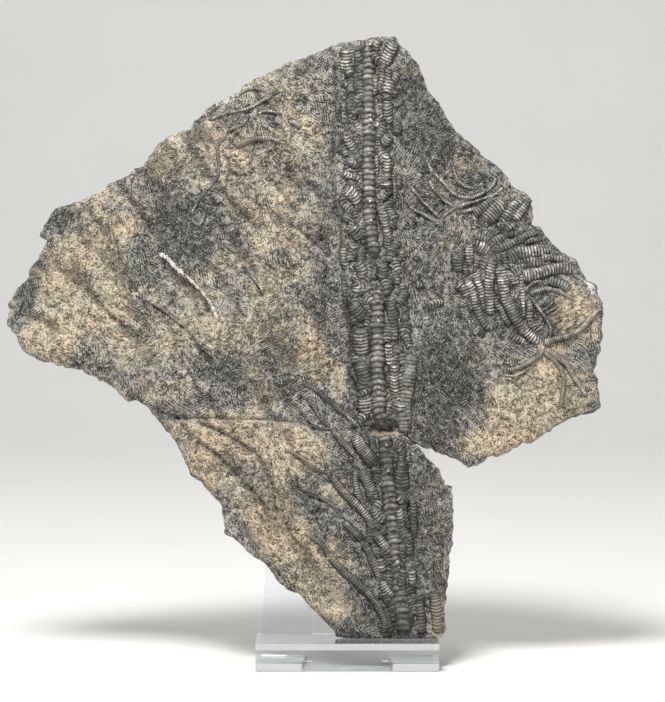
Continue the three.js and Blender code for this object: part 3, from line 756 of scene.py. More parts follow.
# %% Nodes as formulas
class Value:
    """One output of a node. Signs such as + and * make a maths node in the same tree."""

    def __init__(self, graph, socket):
        self.graph = graph
        self.socket = socket

    def output(self, key):
        return Value(self.graph, self.socket.node.outputs[key])

    def maths(self, operation, first, second):
        return self.graph.node("ShaderNodeMath", {"operation": operation}, {0: first, 1: second})

    def __add__(self, other):
        return self.maths("ADD", self, other)

    def __radd__(self, other):
        return self.maths("ADD", other, self)

    def __sub__(self, other):
        return self.maths("SUBTRACT", self, other)

    def __rsub__(self, other):
        return self.maths("SUBTRACT", other, self)

    def __mul__(self, other):
        return self.maths("MULTIPLY", self, other)

    def __rmul__(self, other):
        return self.maths("MULTIPLY", other, self)

    def __truediv__(self, other):
        return self.maths("DIVIDE", self, other)

    def __rtruediv__(self, other):
        return self.maths("DIVIDE", other, self)

    def __mod__(self, other):
        return self.maths("MODULO", self, other)

    def __lt__(self, other):
        return self.maths("LESS_THAN", self, other)


class Graph:
    """A tree of nodes under construction."""

    def __init__(self, tree):
        self.tree = tree

    def node(self, kind, settings=None, inputs=None, output=0):
        made = self.tree.nodes.new(kind)
        for key, value in (settings or {}).items():
            setattr(made, key, value)
        for key, value in (inputs or {}).items():
            if isinstance(value, Value):
                self.tree.links.new(value.socket, made.inputs[key])
            else:
                made.inputs[key].default_value = value
        return Value(self, made.outputs[output]) if made.outputs else None


print("formula helpers ready")

# %% [markdown]
# ## What every material can do
#
# `Finish` is such a tree for a material. Its patterns are measured in millimetres on the
# slab's own plane: noise, short strokes, and lines combed one way like hair. Strokes and
# lines are laid in patches, each patch with its own direction.

# %% Materials
WAVE_UNIT = math.pi / 10
BLACK = (0.0, 0.0, 0.0, 1.0)
STROKE_ANGLES = (28, 62, -32, 100)
STROKE_LENGTH, STROKE_WIDTH, COMB_PITCH = 0.9, 0.28, 0.68


class Finish(Graph):
    """A material under construction."""

    def __init__(self, name):
        self.material = bpy.data.materials.new(name)
        self.material.use_nodes = True
        super().__init__(self.material.node_tree)
        self.tree.nodes.clear()

    def here(self):
        return self.node("ShaderNodeTexCoord", output=3)

    def noise(self, size_mm, detail=3.0, roughness=0.6):
        inputs = {"Vector": self.here(), "Scale": 1 / (size_mm * MM), "Detail": detail,
                  "Roughness": roughness}
        return self.node("ShaderNodeTexNoise", inputs=inputs)

    def ramp(self, value, low, high):
        settings = {"interpolation_type": "SMOOTHSTEP"}
        return self.node("ShaderNodeMapRange", settings, {0: value, 1: low, 2: high})

    def turned(self, vector, angles, scale=(1, 1, 1)):
        inputs = {"Vector": vector, "Rotation": angles, "Scale": scale}
        return self.node("ShaderNodeMapping", {"vector_type": "TEXTURE"}, inputs)

    def strokes(self, plane, degrees):
        """Short strokes that run at an angle in the slab's plane."""
        scale = (STROKE_LENGTH * MM, STROKE_WIDTH * MM, STROKE_WIDTH * MM)
        where = self.turned(plane, (0, 0, math.radians(degrees)), scale)
        return self.node("ShaderNodeTexNoise", inputs={"Vector": where, "Scale": 1.0, "Detail": 2.0})

    def combed(self, plane, degrees):
        """Wavy parallel lines, like combed hair, that run at an angle in the slab's plane."""
        where = self.turned(plane, (0, 0, math.radians(degrees + 90)))
        bands = {"Vector": where, "Scale": WAVE_UNIT / (COMB_PITCH * MM), "Distortion": 9.0,
                 "Detail": 2.0, "Detail Scale": 0.45, "Detail Roughness": 0.65}
        return self.node("ShaderNodeTexWave", {"wave_type": "BANDS"}, bands, output=1)

    def hatching(self):
        """Patches of strokes and wavy lines, each patch with its own direction."""
        plane = self.turned(self.here(), (math.pi / 2 - LEAN, 0, 0))
        share = self.ramp(self.noise(11, 3, 0.6), 0.44, 0.6) * 0.17 + 0.04
        runs = [self.strokes(plane, angle) * 0.8 + (self.combed(plane, angle) - 0.5) * share + 0.1
                for angle in STROKE_ANGLES]
        small, large = (self.ramp(self.noise(size, 2, 0.5), 0.46, 0.54) for size in (6, 10))
        first = runs[0] + (runs[1] - runs[0]) * small
        second = runs[2] + (runs[3] - runs[2]) * small
        return first + (second - first) * large

    def blend(self, share, first, second):
        settings = {"data_type": "RGBA", "clamp_factor": True}
        return self.node("ShaderNodeMix", settings, {0: share, 6: first, 7: second}, output=2)

    def marks(self):
        colour = self.node("ShaderNodeAttribute", {"attribute_name": "marks"})
        parts = self.node("ShaderNodeSeparateColor", inputs={0: colour})
        return parts, parts.output(1), parts.output(2)

    def bump(self, height, depth_mm, strength=1.0):
        inputs = {"Strength": strength, "Distance": depth_mm * MM, "Height": height}
        return self.node("ShaderNodeBump", inputs=inputs)

    def surface(self, **inputs):
        named = {key.replace("_", " "): value for key, value in inputs.items()}
        shader = self.node("ShaderNodeBsdfPrincipled", inputs=named)
        self.node("ShaderNodeOutputMaterial", inputs={"Surface": shader})
        return self.material


print("material helpers ready")

# %% [markdown]
# ## The shale
#
# Split shale sparkles: every face is covered by grains and flakes about a third of a
# millimetre across, some catching the light and some black in their own shade. So the colour
# swings between a dark and a light tone with a fine noise, in grey where the stone is fresh
# and in tan where it has weathered. In some places the grains are combed into short lines,
# which are the tips of buried pinnules. Chalky flecks and a few painted glints lie over all.
# The marks stored on the mesh say which tone is where, and where painted shade darkens it.

# %% Shale
GREY_DARK, GREY_LIGHT = (0.025, 0.024, 0.021, 1), (0.46, 0.44, 0.385, 1)
TAN_DARK, TAN_LIGHT = (0.10, 0.074, 0.045, 1), (0.89, 0.725, 0.515, 1)
GREY_COOL, TAN_PALE = (0.48, 0.47, 0.43, 1), (0.82, 0.73, 0.54, 1)
CHALK_AND_GLINT = (0.80, 0.765, 0.685, 1)
GRAIN_SIZE, GLINT_SIZE, FLAKE_SIZE, MOTTLE_SIZE, DRIFT_SIZE = 0.5, 0.7, 1.6, 9, 13
SHALE_RELIEF, FOSSIL_RELIEF = 1.1, 0.16


def shale():
    finish = Finish("shale")
    # The second mark is chalky white stone, with painted highlight on pinnule crowns and along the broken
    # edge; the third is darker stone and painted shade.
    tan, white, dark = finish.marks()
    hatch = finish.hatching()
    grain = finish.noise(GRAIN_SIZE, 2, 0.8)
    flakes = finish.noise(FLAKE_SIZE, 4, 0.7)
    mottle = finish.noise(MOTTLE_SIZE, 5, 0.65)
    drift = finish.ramp(finish.noise(DRIFT_SIZE, 3, 0.6), 0.4, 0.62)
    is_tan = finish.ramp(tan + (mottle - 0.5) * 0.5 + (flakes - 0.5) * 0.45, 0.05, 1.0)
    relief = hatch * (0.62 - is_tan * 0.3) + grain * (0.38 + is_tan * 0.3)
    pattern = relief + (flakes - 0.5) * 0.45 + (mottle - 0.5) * 0.16
    tone = finish.ramp(pattern, 0.42, 0.615)
    grey = finish.blend(tone, GREY_DARK, finish.blend(drift, GREY_LIGHT, GREY_COOL))
    sand_light = finish.blend(drift, TAN_LIGHT, TAN_PALE)
    sandy = finish.blend(finish.ramp(pattern, 0.35, 0.615), TAN_DARK, sand_light)
    colour = finish.blend(is_tan, grey, sandy)
    # Bright specks all over are painted glints; they and the chalk flecks lighten the colour toward one
    # pale tone.
    painted_glints = finish.ramp(finish.noise(GLINT_SIZE, 1, 0.5), 0.66, 0.74)
    flecks = finish.ramp(white + (flakes - 0.5) * 1.3 + (grain - 0.5) * 1.6, 0.42, 0.95)
    chalk_and_glints = flecks * finish.ramp(white, 0.05, 0.3) * 0.9 + painted_glints * 0.5
    # Darken toward black by the third mark: darker stone, and painted shade in pits, grooves, the crack
    # and between strands.
    colour = finish.blend(dark * (1 - white), colour, BLACK)
    colour = finish.blend(chalk_and_glints, colour, CHALK_AND_GLINT)
    roughness = 0.46 + is_tan * 0.3 + white * 0.2
    return finish.surface(Base_Color=colour, Roughness=roughness,
                          Normal=finish.bump(relief + flakes * 0.35, SHALE_RELIEF))


shale_finish = shale()
slab.data.materials.append(shale_finish)
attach(slab, "root")
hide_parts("slab")
print("shale on", slab.name)

# %% [markdown]
# ## The fossil's own stone
#
# The sea lily's skeleton has turned to a harder, darker stone with a dull metallic sheen. Its
# high spots carry a painted highlight, and the grooves between the joints and the low sides of
# each joint carry painted shade. Here the three marks are: tan weathering, the painted shade,
# and the strength of the painted highlight.

# %% Fossil
FOSSIL_DARK, FOSSIL_LIGHT = (0.022, 0.021, 0.018, 1), (0.112, 0.108, 0.094, 1)
FOSSIL_HIGHLIGHT = (0.84, 0.80, 0.70, 1)
FOSSIL_DIM = (0.145, 0.14, 0.122, 1)
FOSSIL_WORN = (0.235, 0.235, 0.19, 1)
FOSSIL_TAN = (0.42, 0.35, 0.25, 1)


def fossil(name, light):
    finish = Finish(name)
    tan, groove, painted_highlight = finish.marks()
    cloud = finish.ramp(finish.noise(2.6, 4, 0.7), 0.35, 0.65)
    fleck = finish.ramp(finish.noise(1.5, 3, 0.7), 0.4, 0.66)
    colour = finish.blend(cloud, FOSSIL_DARK, light)
    colour = finish.blend(finish.ramp(tan, 0.3, 0.95) * 0.55, colour, FOSSIL_TAN)
    # Painted highlight on the joints' high spots, flecked by noise.
    colour = finish.blend(painted_highlight * (0.18 + fleck * 0.8), colour, FOSSIL_HIGHLIGHT)
    # Painted shade in the grooves between joints and on their low sides.
    colour = finish.blend(groove * 0.93, colour, BLACK)
    grain = finish.noise(0.35, 2, 0.7)
    return finish.surface(Base_Color=colour, Roughness=0.44 - painted_highlight * 0.16, Metallic=0.1,
                          Normal=finish.bump(grain, FOSSIL_RELIEF, 0.8))


fossil_finish = fossil("fossil", FOSSIL_LIGHT)
stem_finish = fossil("stem_fossil", FOSSIL_DIM)
worn_finish = fossil("worn_fossil", FOSSIL_WORN)
print("fossil finish ready")

# %% [markdown]
# ## Joints along a line
#
# A stem, a cirrus and a pinnule are all built alike: a stack of discs along a curved line.
# That is a job for Geometry Nodes. One tree takes a drawn line, cuts it into thirds of a
# joint, pinches it at every third point, and sweeps a flattened round section along it. Its
# named inputs are the joint's pitch, the pinch, the section's height and ridges, and how far
# each joint arches forward.

# %% The joint tree
PARTS = 3.0
JOINT_DEFAULTS = {
    "Pitch": 0.65 * MM, "Pinch": 0.15, "Nodal swell": 0.0, "Unevenness": 0.05, "Height": 0.3,
    "Ridge": 0.0, "Arch": 0.0, "Sides": 8, "Seed": 1,
}


class Shape(Graph):
    """A geometry tree under construction."""

    def keep(self, geometry, name, value, kind="FLOAT"):
        inputs = {0: geometry, "Name": name, "Value": value}
        settings = {"data_type": kind, "domain": "POINT"}
        return self.node("GeometryNodeStoreNamedAttribute", settings, inputs)

    def kept(self, name, kind="FLOAT"):
        return self.node("GeometryNodeInputNamedAttribute", {"data_type": kind}, {"Name": name})

    def moved(self, geometry, direction, amount):
        shift = self.node("ShaderNodeVectorMath", {"operation": "SCALE"},
                          {0: direction, "Scale": amount})
        return self.node("GeometryNodeSetPosition", inputs={0: geometry, "Offset": shift})


def new_joint_tree():
    tree = bpy.data.node_groups.new("joints along lines", "GeometryNodeTree")
    tree.interface.new_socket("Geometry", in_out="INPUT", socket_type="NodeSocketGeometry")
    for label, value in JOINT_DEFAULTS.items():
        kind = "NodeSocketInt" if isinstance(value, int) else "NodeSocketFloat"
        socket = tree.interface.new_socket(label, in_out="INPUT", socket_type=kind)
        socket.default_value = value
    tree.interface.new_socket("Material", in_out="INPUT", socket_type="NodeSocketMaterial")
    tree.interface.new_socket("Geometry", in_out="OUTPUT", socket_type="NodeSocketGeometry")
    return tree


def joint_tree():
    tree = new_joint_tree()
    g = Shape(tree)
    given = g.node("NodeGroupInput").output
    # the line, cut into parts of a joint
    line = g.node("GeometryNodeMeshToCurve", inputs={0: given("Geometry")})
    cut = {0: line, "Length": given("Pitch") / PARTS}
    line = g.node("GeometryNodeResampleCurve", {"mode": "LENGTH"}, cut)
    facing = {0: line, "Normal": out_of_face.tolist()}
    line = g.node("GeometryNodeSetCurveNormal", {"mode": "FREE"}, facing)
    index = g.node("GeometryNodeSplineParameter", output=2)
    groove = index % PARTS < 0.5
    line = g.keep(line, "groove", groove)
    line = g.keep(line, "along", g.node("GeometryNodeInputTangent"), "FLOAT_VECTOR")
    # its thickness at each point
    nodal = index % (2 * PARTS) < PARTS - 0.5
    spread = {2: -1.0, 3: 1.0, "Seed": given("Seed")}
    chance = g.node("FunctionNodeRandomValue", {"data_type": "FLOAT"}, spread, output=1)
    thickness = g.kept("width") * (1.0 - groove * given("Pinch") + nodal * given("Nodal swell")
                                   + chance * given("Unevenness"))
    # the section, with every other corner drawn in, and flattened
    circle = {"Resolution": given("Sides"), "Radius": 0.5}
    ring = g.node("GeometryNodeCurvePrimitiveCircle", inputs=circle)
    spot = g.node("GeometryNodeInputPosition")
    ring = g.keep(ring, "crown", g.node("ShaderNodeSeparateXYZ", inputs={0: spot}) * 2.0)
    corner = g.node("GeometryNodeSplineParameter", output=2) % 2.0
    ring = g.moved(ring, spot, corner * given("Ridge") * -1.0)
    flat = g.node("ShaderNodeCombineXYZ", inputs={0: given("Height") * 2.0, 1: 1.0, 2: 1.0})
    ring = g.node("GeometryNodeTransform", inputs={0: ring, "Scale": flat})
    # the section swept along the line, its top drawn forward to an arch
    sweep = {0: line, 1: ring, "Scale": thickness, "Fill Caps": True}
    body = g.node("GeometryNodeCurveToMesh", inputs=sweep)
    crown = g.kept("crown")
    body = g.moved(body, g.kept("along", "FLOAT_VECTOR"), crown * crown * given("Arch"))
    body = g.node("GeometryNodeRealizeInstances", inputs={0: body})
    body = g.node("GeometryNodeSetMaterial", inputs={0: body, "Material": given("Material")})
    g.node("NodeGroupOutput", inputs={0: body})
    return tree


JOINTS = joint_tree()
print("joint tree:", len(JOINTS.nodes), "nodes")

# %% [markdown]
# ## From drawn lines to fossil pieces
#
# A drawn line is only a few points. It is smoothed, laid on the face, raised by the lift given
# with it so that crossing pieces stack, and let into the stone at its ends, because fossil
# pieces rarely end cleanly: they dive into the rock. The tree then makes the joints, and the
# result becomes a plain mesh.

# %% Laying lines on the face
PATH_STEP = 0.45
SHORTEST_END = 0.9


def smooth_path(points, step):
    """A smooth curve through all the points, sampled about every `step` mm."""
    p = np.array(points, dtype=float)
    padded = np.vstack([2 * p[0] - p[1], p, 2 * p[-1] - p[-2]])
    parts = []
    for i in range(len(p) - 1):
        a, b, c, d = padded[i:i + 4]
        count = max(2, math.ceil(np.hypot(*(c - b)) / step))
        t = np.linspace(0, 1, count, endpoint=False)[:, None]
        curve = 2 * b + (c - a) * t + (2 * a - 5 * b + 4 * c - d) * t ** 2
        parts.append(0.5 * (curve + (3 * b - a - 3 * c + d) * t ** 3))
    parts.append(p[-1:])
    return np.vstack(parts)


def lay_lines(name, strands, taper, sink, on_grain):
    """Make a wire object of the strands. Each is (width, strength of its painted highlight, points,
    lift).
    """
    paths, widths, lifts, shines, edges, count = [], [], [], [], [], 0
    for width, painted_highlight, points, lift in strands:
        path = smooth_path(points, PATH_STEP)
        path = path[inside(*path.T, outline)]
        if len(path) < 3:
            continue
        t = np.linspace(0, 1, len(path))
        to_end = np.minimum(t, 1 - t) * PATH_STEP * len(path)
        ends = 1 - ramp(to_end, 0, max(SHORTEST_END, 0.5 * width))
        # The shine is the strength of the painted highlight, patchy along the strand and fading at its
        # ends.
        patchy = 0.85 + 0.85 * noise(*path.T, 5.5, 78) + 0.35 * noise(*path.T, 1.8, 77)
        paths.append(path)
        widths.append(width * (1 - taper * t) * (1 - 0.25 * ends) * MM)
        lifts.append(lift * np.sin(np.pi * t) ** 0.7 - sink * width * ends)
        shines.append(painted_highlight * (1 - 0.6 * ends) * np.clip(patchy, 0.12, 1.7))
        edges += [(count + k, count + k + 1) for k in range(len(path) - 1)]
        count += len(path)
    u, v = np.vstack(paths).T
    ground = fine_height(u, v) if on_grain else lump_height(u, v)
    level = broad_height(u, v) + ground + np.concatenate(lifts)
    mesh = bpy.data.meshes.new(name)
    mesh.from_pydata(place(u, v, level).tolist(), edges, [])
    for label, values in (("width", widths), ("shine", shines)):
        attribute = mesh.attributes.new(label, "FLOAT", "POINT")
        attribute.data.foreach_set("value", np.concatenate(values).astype(np.float32))
    return show(name + "_lines", mesh)


print("lines are laid every", PATH_STEP, "mm")

# %% [markdown]
# ## From lines to meshes
#
# The joint tree works on the wire, and its result is kept as a plain mesh. Pressed joints
# never sit evenly, so fossil pieces are shifted a little by noise. Pinnules are part of the
# shale and keep their place on its grain.

# %% Growing joints on the lines
CRUSH = 0.22


def grown_mesh(wire, inputs):
    """The plain mesh that the joint tree makes of a wire."""
    modifier = wire.modifiers.new("joints", "NODES")
    modifier.node_group = JOINTS
    socket_of = {item.name: item.identifier for item in JOINTS.interface.items_tree
                 if item.in_out == "INPUT"}
    for label, value in inputs.items():
        modifier[socket_of[label]] = value
    evaluated = wire.evaluated_get(bpy.context.evaluated_depsgraph_get())
    mesh = bpy.data.meshes.new_from_object(evaluated)
    bpy.data.objects.remove(wire)
    return mesh


def read_numbers(mesh, label):
    values = np.zeros(len(mesh.vertices), dtype=np.float32)
    mesh.attributes[label].data.foreach_get("value", values)
    return values


def crushed_flat(spots, amount):
    """Shift points a little, mm, so that joints sit as unevenly as pressed ones do."""
    u, v, w = unplace(spots)
    du, dv, dw = (noise(u, v, size, shift) for size, shift in ((1.7, 61), (1.5, 62), (2.2, 63)))
    return place(u + amount * du, v + 0.8 * amount * dv, w + 0.7 * amount * dw)


def make_joints(name, strands, inputs, taper=0.15, sink=0.34, rounding=1.5, painted_shade_strength=1.0, finish=None):
    """Lay the strands, run the joint tree on them and keep the result as a plain mesh.

    `rounding` sets how narrow the painted highlight on each joint's top is, and the shade strength how
    dark the painted shade in the grooves and on the low sides is.
    """
    finish = finish or fossil_finish
    stony = finish is shale_finish
    wire = lay_lines(name, strands, taper, sink, on_grain=stony)
    mesh = grown_mesh(wire, {**inputs, "Material": finish})
    mesh.name = name
    groove, crown, shine = (read_numbers(mesh, label) for label in ("groove", "crown", "shine"))
    spots = np.zeros(len(mesh.vertices) * 3, dtype=np.float32)
    mesh.vertices.foreach_get("co", spots)
    spots = spots.reshape(-1, 3).astype(float)
    spots = stand_on_shelf(spots if stony else crushed_flat(spots, CRUSH))
    mesh.vertices.foreach_set("co", spots.astype(np.float32).ravel())
    mesh.shade_smooth()
    piece = show(name, mesh)
    u, v, _ = unplace(spots)
    crown = np.clip(crown, 0, 1)
    if stony:
        # Pinnules and the white ridge: painted shade in the grooves and on the low sides, with darker
        # stone; white on the crowns is painted highlight, and on the ridge also the vein's own white.
        shade = 1 - (1 - 0.4 * groove) * (0.3 + 0.7 * crown) * (1 - 0.4 * dark_stone_and_shade(u, v))
        store_marks(piece, tan_amount(u, v), np.clip(0.45 * shine * crown ** 2, 0, 1), shade)
    else:
        # Painted shade, dark in the grooves and down the low sides of each section; painted highlight,
        # bright on the crown and narrowed by rounding.
        shade = painted_shade_strength * (1 - (1 - groove) * (0.35 + 0.65 * np.sqrt(crown)))
        painted_highlight = np.clip(crown ** rounding * shine * (1 - groove), 0, 1)
        store_marks(piece, tan_amount(u, v), shade, painted_highlight)
    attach(piece, "root")
    triangles = sum(len(p.vertices) - 2 for p in mesh.polygons)
    print(f"{name}: {len(strands)} lines, {triangles} triangles")


print("joint helpers ready")

# %% [markdown]
# ## The stem
#
# The stem is one stack of discs, pressed flat and let into the stone. It is missing where the
# slab broke, and crushed to loose pieces higher up. In short runs a line of raised beads down
# its middle carries a strong painted highlight.

# %% The stem's joints
STEM_JOINTS = {"Pitch": 1.6 * MM, "Pinch": 0.12, "Nodal swell": 0.12, "Height": 0.145, "Ridge": 0.2,
               "Sides": 12, "Unevenness": 0.1, "Arch": 0.55 * MM}
BEADS = {"Pitch": 1.6 * MM, "Pinch": 0.4, "Height": 0.35, "Sides": 6, "Unevenness": 0.2, "Seed": 21}
STEM_ENDS = (0.3, 168)
CHIP = (56.2, 60.3)
CRUSHED = (95.5, 105.5)
BEAD_RUNS = [(168, 165), (148, 142), (136.5, 134.5), (123, 120), (117.5, 115.5), (94.5, 92),
             (90.5, 87), (70, 68), (54, 52), (47, 45), (40, 38), (21.5, 19)]


def stem_at(v):
    line = np.array(STEM_LINE)
    return float(np.interp(v, line[:, 1], line[:, 0]))


def stem_between(low, high):
    """The part of the stem's line between two heights on the slab."""
    inner = [point for point in STEM_LINE if low < point[1] < high]
    return [(stem_at(low), low), *inner, (stem_at(high), high)]


def bead_run(top, bottom):
    """A short line of raised beads down the middle of the stem, with a strong painted highlight."""
    return (1.5, 1.6, [(stem_at(v) + 0.3, v) for v in np.linspace(top, bottom, 4)], 0.75)


stem_runs = [
    (5.1, 0.35, stem_between(STEM_ENDS[0], CHIP[0]), -0.3),
    (4.9, 0.5, stem_between(CHIP[1], CRUSHED[0]), 0.15),
    (4.5, 0.5, stem_between(CRUSHED[1], STEM_ENDS[1]), 0.2),
]
make_joints("stem", stem_runs, STEM_JOINTS, taper=0.1, sink=0.1, rounding=3, painted_shade_strength=0.8,
            finish=stem_finish)
make_joints("stem_beads", [bead_run(*ends) for ends in BEAD_RUNS], BEADS, taper=0.2, sink=0.05)

# %% [markdown]
# ## The cirri along the stem
#
# Cirri grow in whorls from the stem and lie along it, broken into short overlapping runs. The
# largest, which have a clear place, are drawn. Between them lies a bed of smaller broken
# runs that nobody could draw. They follow a loose rule: nearly parallel to the stem, a few
# joints long, leaning either way. So they are scattered on both sides with a fixed seed.

# %% Cirri beside the stem
BROAD_JOINTS = {"Pitch": 0.92 * MM, "Pinch": 0.15, "Height": 0.17, "Sides": 10, "Unevenness": 0.07,
                "Arch": 0.7 * MM}
CIRRUS_JOINTS = {"Pitch": 0.68 * MM, "Pinch": 0.16, "Height": 0.24, "Sides": 8,
                 "Unevenness": 0.05, "Arch": 0.25 * MM}
WORN_JOINTS = {"Pitch": 1.05 * MM, "Pinch": 0.08, "Height": 0.16, "Sides": 10, "Unevenness": 0.05}
REST_HEIGHTS = (0.15, 0.45, 0.25, 0.6, 0.35)
LOWER_HALF = 56.0
CHIP_CLEARANCE = (6.5, 4.5)
HALF_RUN = 2.6


def resting(strands, base=0.0):
    """Give each drawn strand a height to rest at, so that overlapping ones stack."""
    return [(*strand, base + REST_HEIGHTS[k % len(REST_HEIGHTS)]) for k, strand in enumerate(strands)]


def scattered_cirri(seed, side, inner, outer, first, last, spacing):
    """Short runs beside the stem, between `inner` and `outer` mm from its middle."""
    chance = np.random.RandomState(seed)
    runs = []
    for v in np.arange(first, last, spacing):
        angle = math.radians(90 + chance.normal(0, 24))
        length = chance.uniform(3.5, 8)
        bend = chance.uniform(-0.8, 0.8)
        du, dv = math.cos(angle) * length / 2, math.sin(angle) * length / 2
        u = stem_at(v) + side * chance.uniform(inner, outer)
        x, y = (u - CHIP_CENTRE[0]) / CHIP_CLEARANCE[0], (v - CHIP_CENTRE[1]) / CHIP_CLEARANCE[1]
        if math.hypot(x, y) < 1:
            continue
        lift = chance.uniform(-0.3, 0.15)
        # Painted highlight strength, halved on the lower half of the slab.
        painted_highlight = chance.uniform(0.1, 0.6) * (0.5 if v < LOWER_HALF else 1.0)
        points = [(u - du, v - dv), (u + bend, v), (u + du, v + dv)]
        runs.append((chance.uniform(2.2, 4.2), painted_highlight, points, lift))
    return runs


def broken_runs(seed, centre, radii, count, painted_highlight, lift):
    """Short runs at random places and angles in an oval."""
    chance = np.random.RandomState(seed)
    runs = []
    for _ in range(count):
        turn, reach, angle = chance.uniform(0, 6.28), chance.uniform() ** 0.5, chance.uniform(0, 3.14)
        u = centre[0] + radii[0] * reach * math.cos(turn)
        v = centre[1] + radii[1] * reach * math.sin(turn)
        du, dv = HALF_RUN * math.cos(angle), HALF_RUN * math.sin(angle)
        points = [(u - du, v - dv), (u, v + 0.3), (u + du, v + dv)]
        runs.append((chance.uniform(2, 3.4), painted_highlight, points, lift))
    return runs


left_bed = scattered_cirri(3, -1, 2.2, 4.2, 3, 168, 2.4)
left_bed += scattered_cirri(4, -1, 4.2, 6.4, 6, 166, 2.8)
left_bed += broken_runs(30, (7.8, 100.5), (6, 4.5), 22, painted_highlight=0.4, lift=0.1)
right_bed = scattered_cirri(5, 1, 2.4, 4.6, 3, 166, 2.4)
right_bed += scattered_cirri(6, 1, 4.8, 8.2, LOWER_HALF, 160, 3.0)
stem_sides = resting(STEM_SIDES_TOP + STEM_SIDES_MIDDLE + STEM_SIDES_LOW, 0.1)
make_joints("cirri_bed_left", left_bed, {**BROAD_JOINTS, "Seed": 2})
make_joints("cirri_bed_right", right_bed, {**BROAD_JOINTS, "Seed": 3})
make_joints("cirri_drawn", stem_sides, {**BROAD_JOINTS, "Seed": 4})
make_joints("cirri_lower", resting(LOWER_CIRRI, 0.15), {**CIRRUS_JOINTS, "Seed": 5}, taper=0.05)
make_joints("worn_column", resting(WORN_COLUMN, 0.35), {**WORN_JOINTS, "Seed": 9}, taper=0.1,
            painted_shade_strength=0.6, finish=worn_finish)

# %% [markdown]
# ## The crown on the right
#
# Part of the crown lies to the right of the stem: broad arms like rolls of coins, thin curved
# arms seen edge on, and a few long slender cirri that taper to the slab's edge.

# %% Crown
ARM_JOINTS = {"Pitch": 0.84 * MM, "Pinch": 0.13, "Height": 0.165, "Sides": 10, "Unevenness": 0.06,
              "Arch": 0.3 * MM}
SLENDER_JOINTS = {"Pitch": 0.56 * MM, "Pinch": 0.15, "Height": 0.34, "Sides": 8, "Unevenness": 0.03}
RIDGE_JOINTS = {"Pitch": 0.9 * MM, "Pinch": 0.1, "Height": 0.3, "Sides": 8, "Unevenness": 0.4,
                "Seed": 30}
FINE_JOINTS = {"Pitch": 0.66 * MM, "Pinch": 0.2, "Height": 0.4, "Sides": 6, "Unevenness": 0.06}


def fuller(strands, wider, brighter=1.0):
    """The same strands with their widths and painted highlight strengths scaled."""
    return [(wider * width, brighter * painted_highlight, points) for width, painted_highlight, points in strands]


crown_arms = resting(fuller(CROWN_ARMS, 1.2), 0.1)
crown_bed = broken_runs(31, (43.5, 104), (9, 10), 80, painted_highlight=0.3, lift=-0.1)
slender = resting(fuller(SLENDER_CIRRI, 1.25, 1.3), 0.1)
fine_arms = resting(fuller(FINE_ARMS, 1.2, 1.8))
left_strands = resting(fuller(LEFT_STRANDS, 1.2, 2.6), -0.1)
# The ridge is white calcite; a painted highlight strength of 7.0 whitens its crown, so its white is
# partly painted highlight.
white_ridge = [(1.5, 7.0, WHITE_RIDGE, 0.75)]
make_joints("crown_arms", crown_arms, {**ARM_JOINTS, "Seed": 6}, taper=0.1)
make_joints("crown_bed", crown_bed, {**ARM_JOINTS, "Seed": 12}, taper=0.1)
make_joints("slender_cirri", slender, {**SLENDER_JOINTS, "Seed": 7}, taper=0.35)
make_joints("fine_arms", fine_arms, {**FINE_JOINTS, "Seed": 8}, taper=0.1, painted_shade_strength=0.55)
make_joints("white_ridge", white_ridge, RIDGE_JOINTS, taper=0.25, sink=0.1, finish=shale_finish)
make_joints("left_strands", left_strands, {**FINE_JOINTS, "Seed": 9}, taper=0.1, painted_shade_strength=0.6)

# %% [markdown]
# ## Mats of pinnules
#
# The rest of the face is felted with pinnules, the hair-thin side branches of the arms, half
# sunk in the shale and coloured like it. Each mat is an oval on the slab with a main
# direction. Strands start at random places in it and follow a gently swirling field, so
# neighbours run side by side as they do on the slab.

# %% Pinnule mats
MATS_RIGHT = [
    # centre u, v, radii, main direction in degrees, spread, strand length, strands
    (26.1, 70.8, 13, 17, -48, 14, 4.5, 420), (23, 104, 9, 20, 80, 50, 2.6, 200),
    (40, 103, 18, 17, 95, 35, 2.6, 260), (20, 143, 10, 20, 60, 50, 2.4, 240),
    (57, 90, 8, 7, 40, 12, 4, 60), (55, 64, 14, 12, 20, 60, 1.8, 160),
    (23.5, 33, 5, 20, 92, 25, 2.6, 200), (35, 132, 12, 10, -40, 40, 2.2, 160),
]
MATS_LEFT = [
    (-20, 78, 17, 13, 36, 12, 2.2, 420), (-38, 74, 12, 10, -48, 16, 2.6, 180),
    (-13, 103, 12, 14, -50, 30, 2.4, 200), (-13, 146, 13, 14, -25, 50, 2.2, 200),
    (-34, 134, 20, 14, 25, 60, 2.2, 260), (-44, 112, 14, 14, -40, 60, 2.0, 240),
    (-72, 104, 18, 16, -60, 50, 1.9, 300), (-66, 84, 22, 9, -30, 40, 1.9, 220),
    (-28, 48, 20, 12, -40, 45, 2.0, 300), (-14, 26, 14, 16, -50, 30, 2.0, 240),
]
MAT_STEP = 0.6
SWIRL_SIZE = 6.5
PINNULE_LIFT = 0.05
PINNULE_JOINTS = {"Pitch": 0.9 * MM, "Pinch": 0.2, "Height": 0.4, "Sides": 4, "Unevenness": 0.12,
                  "Seed": 10}


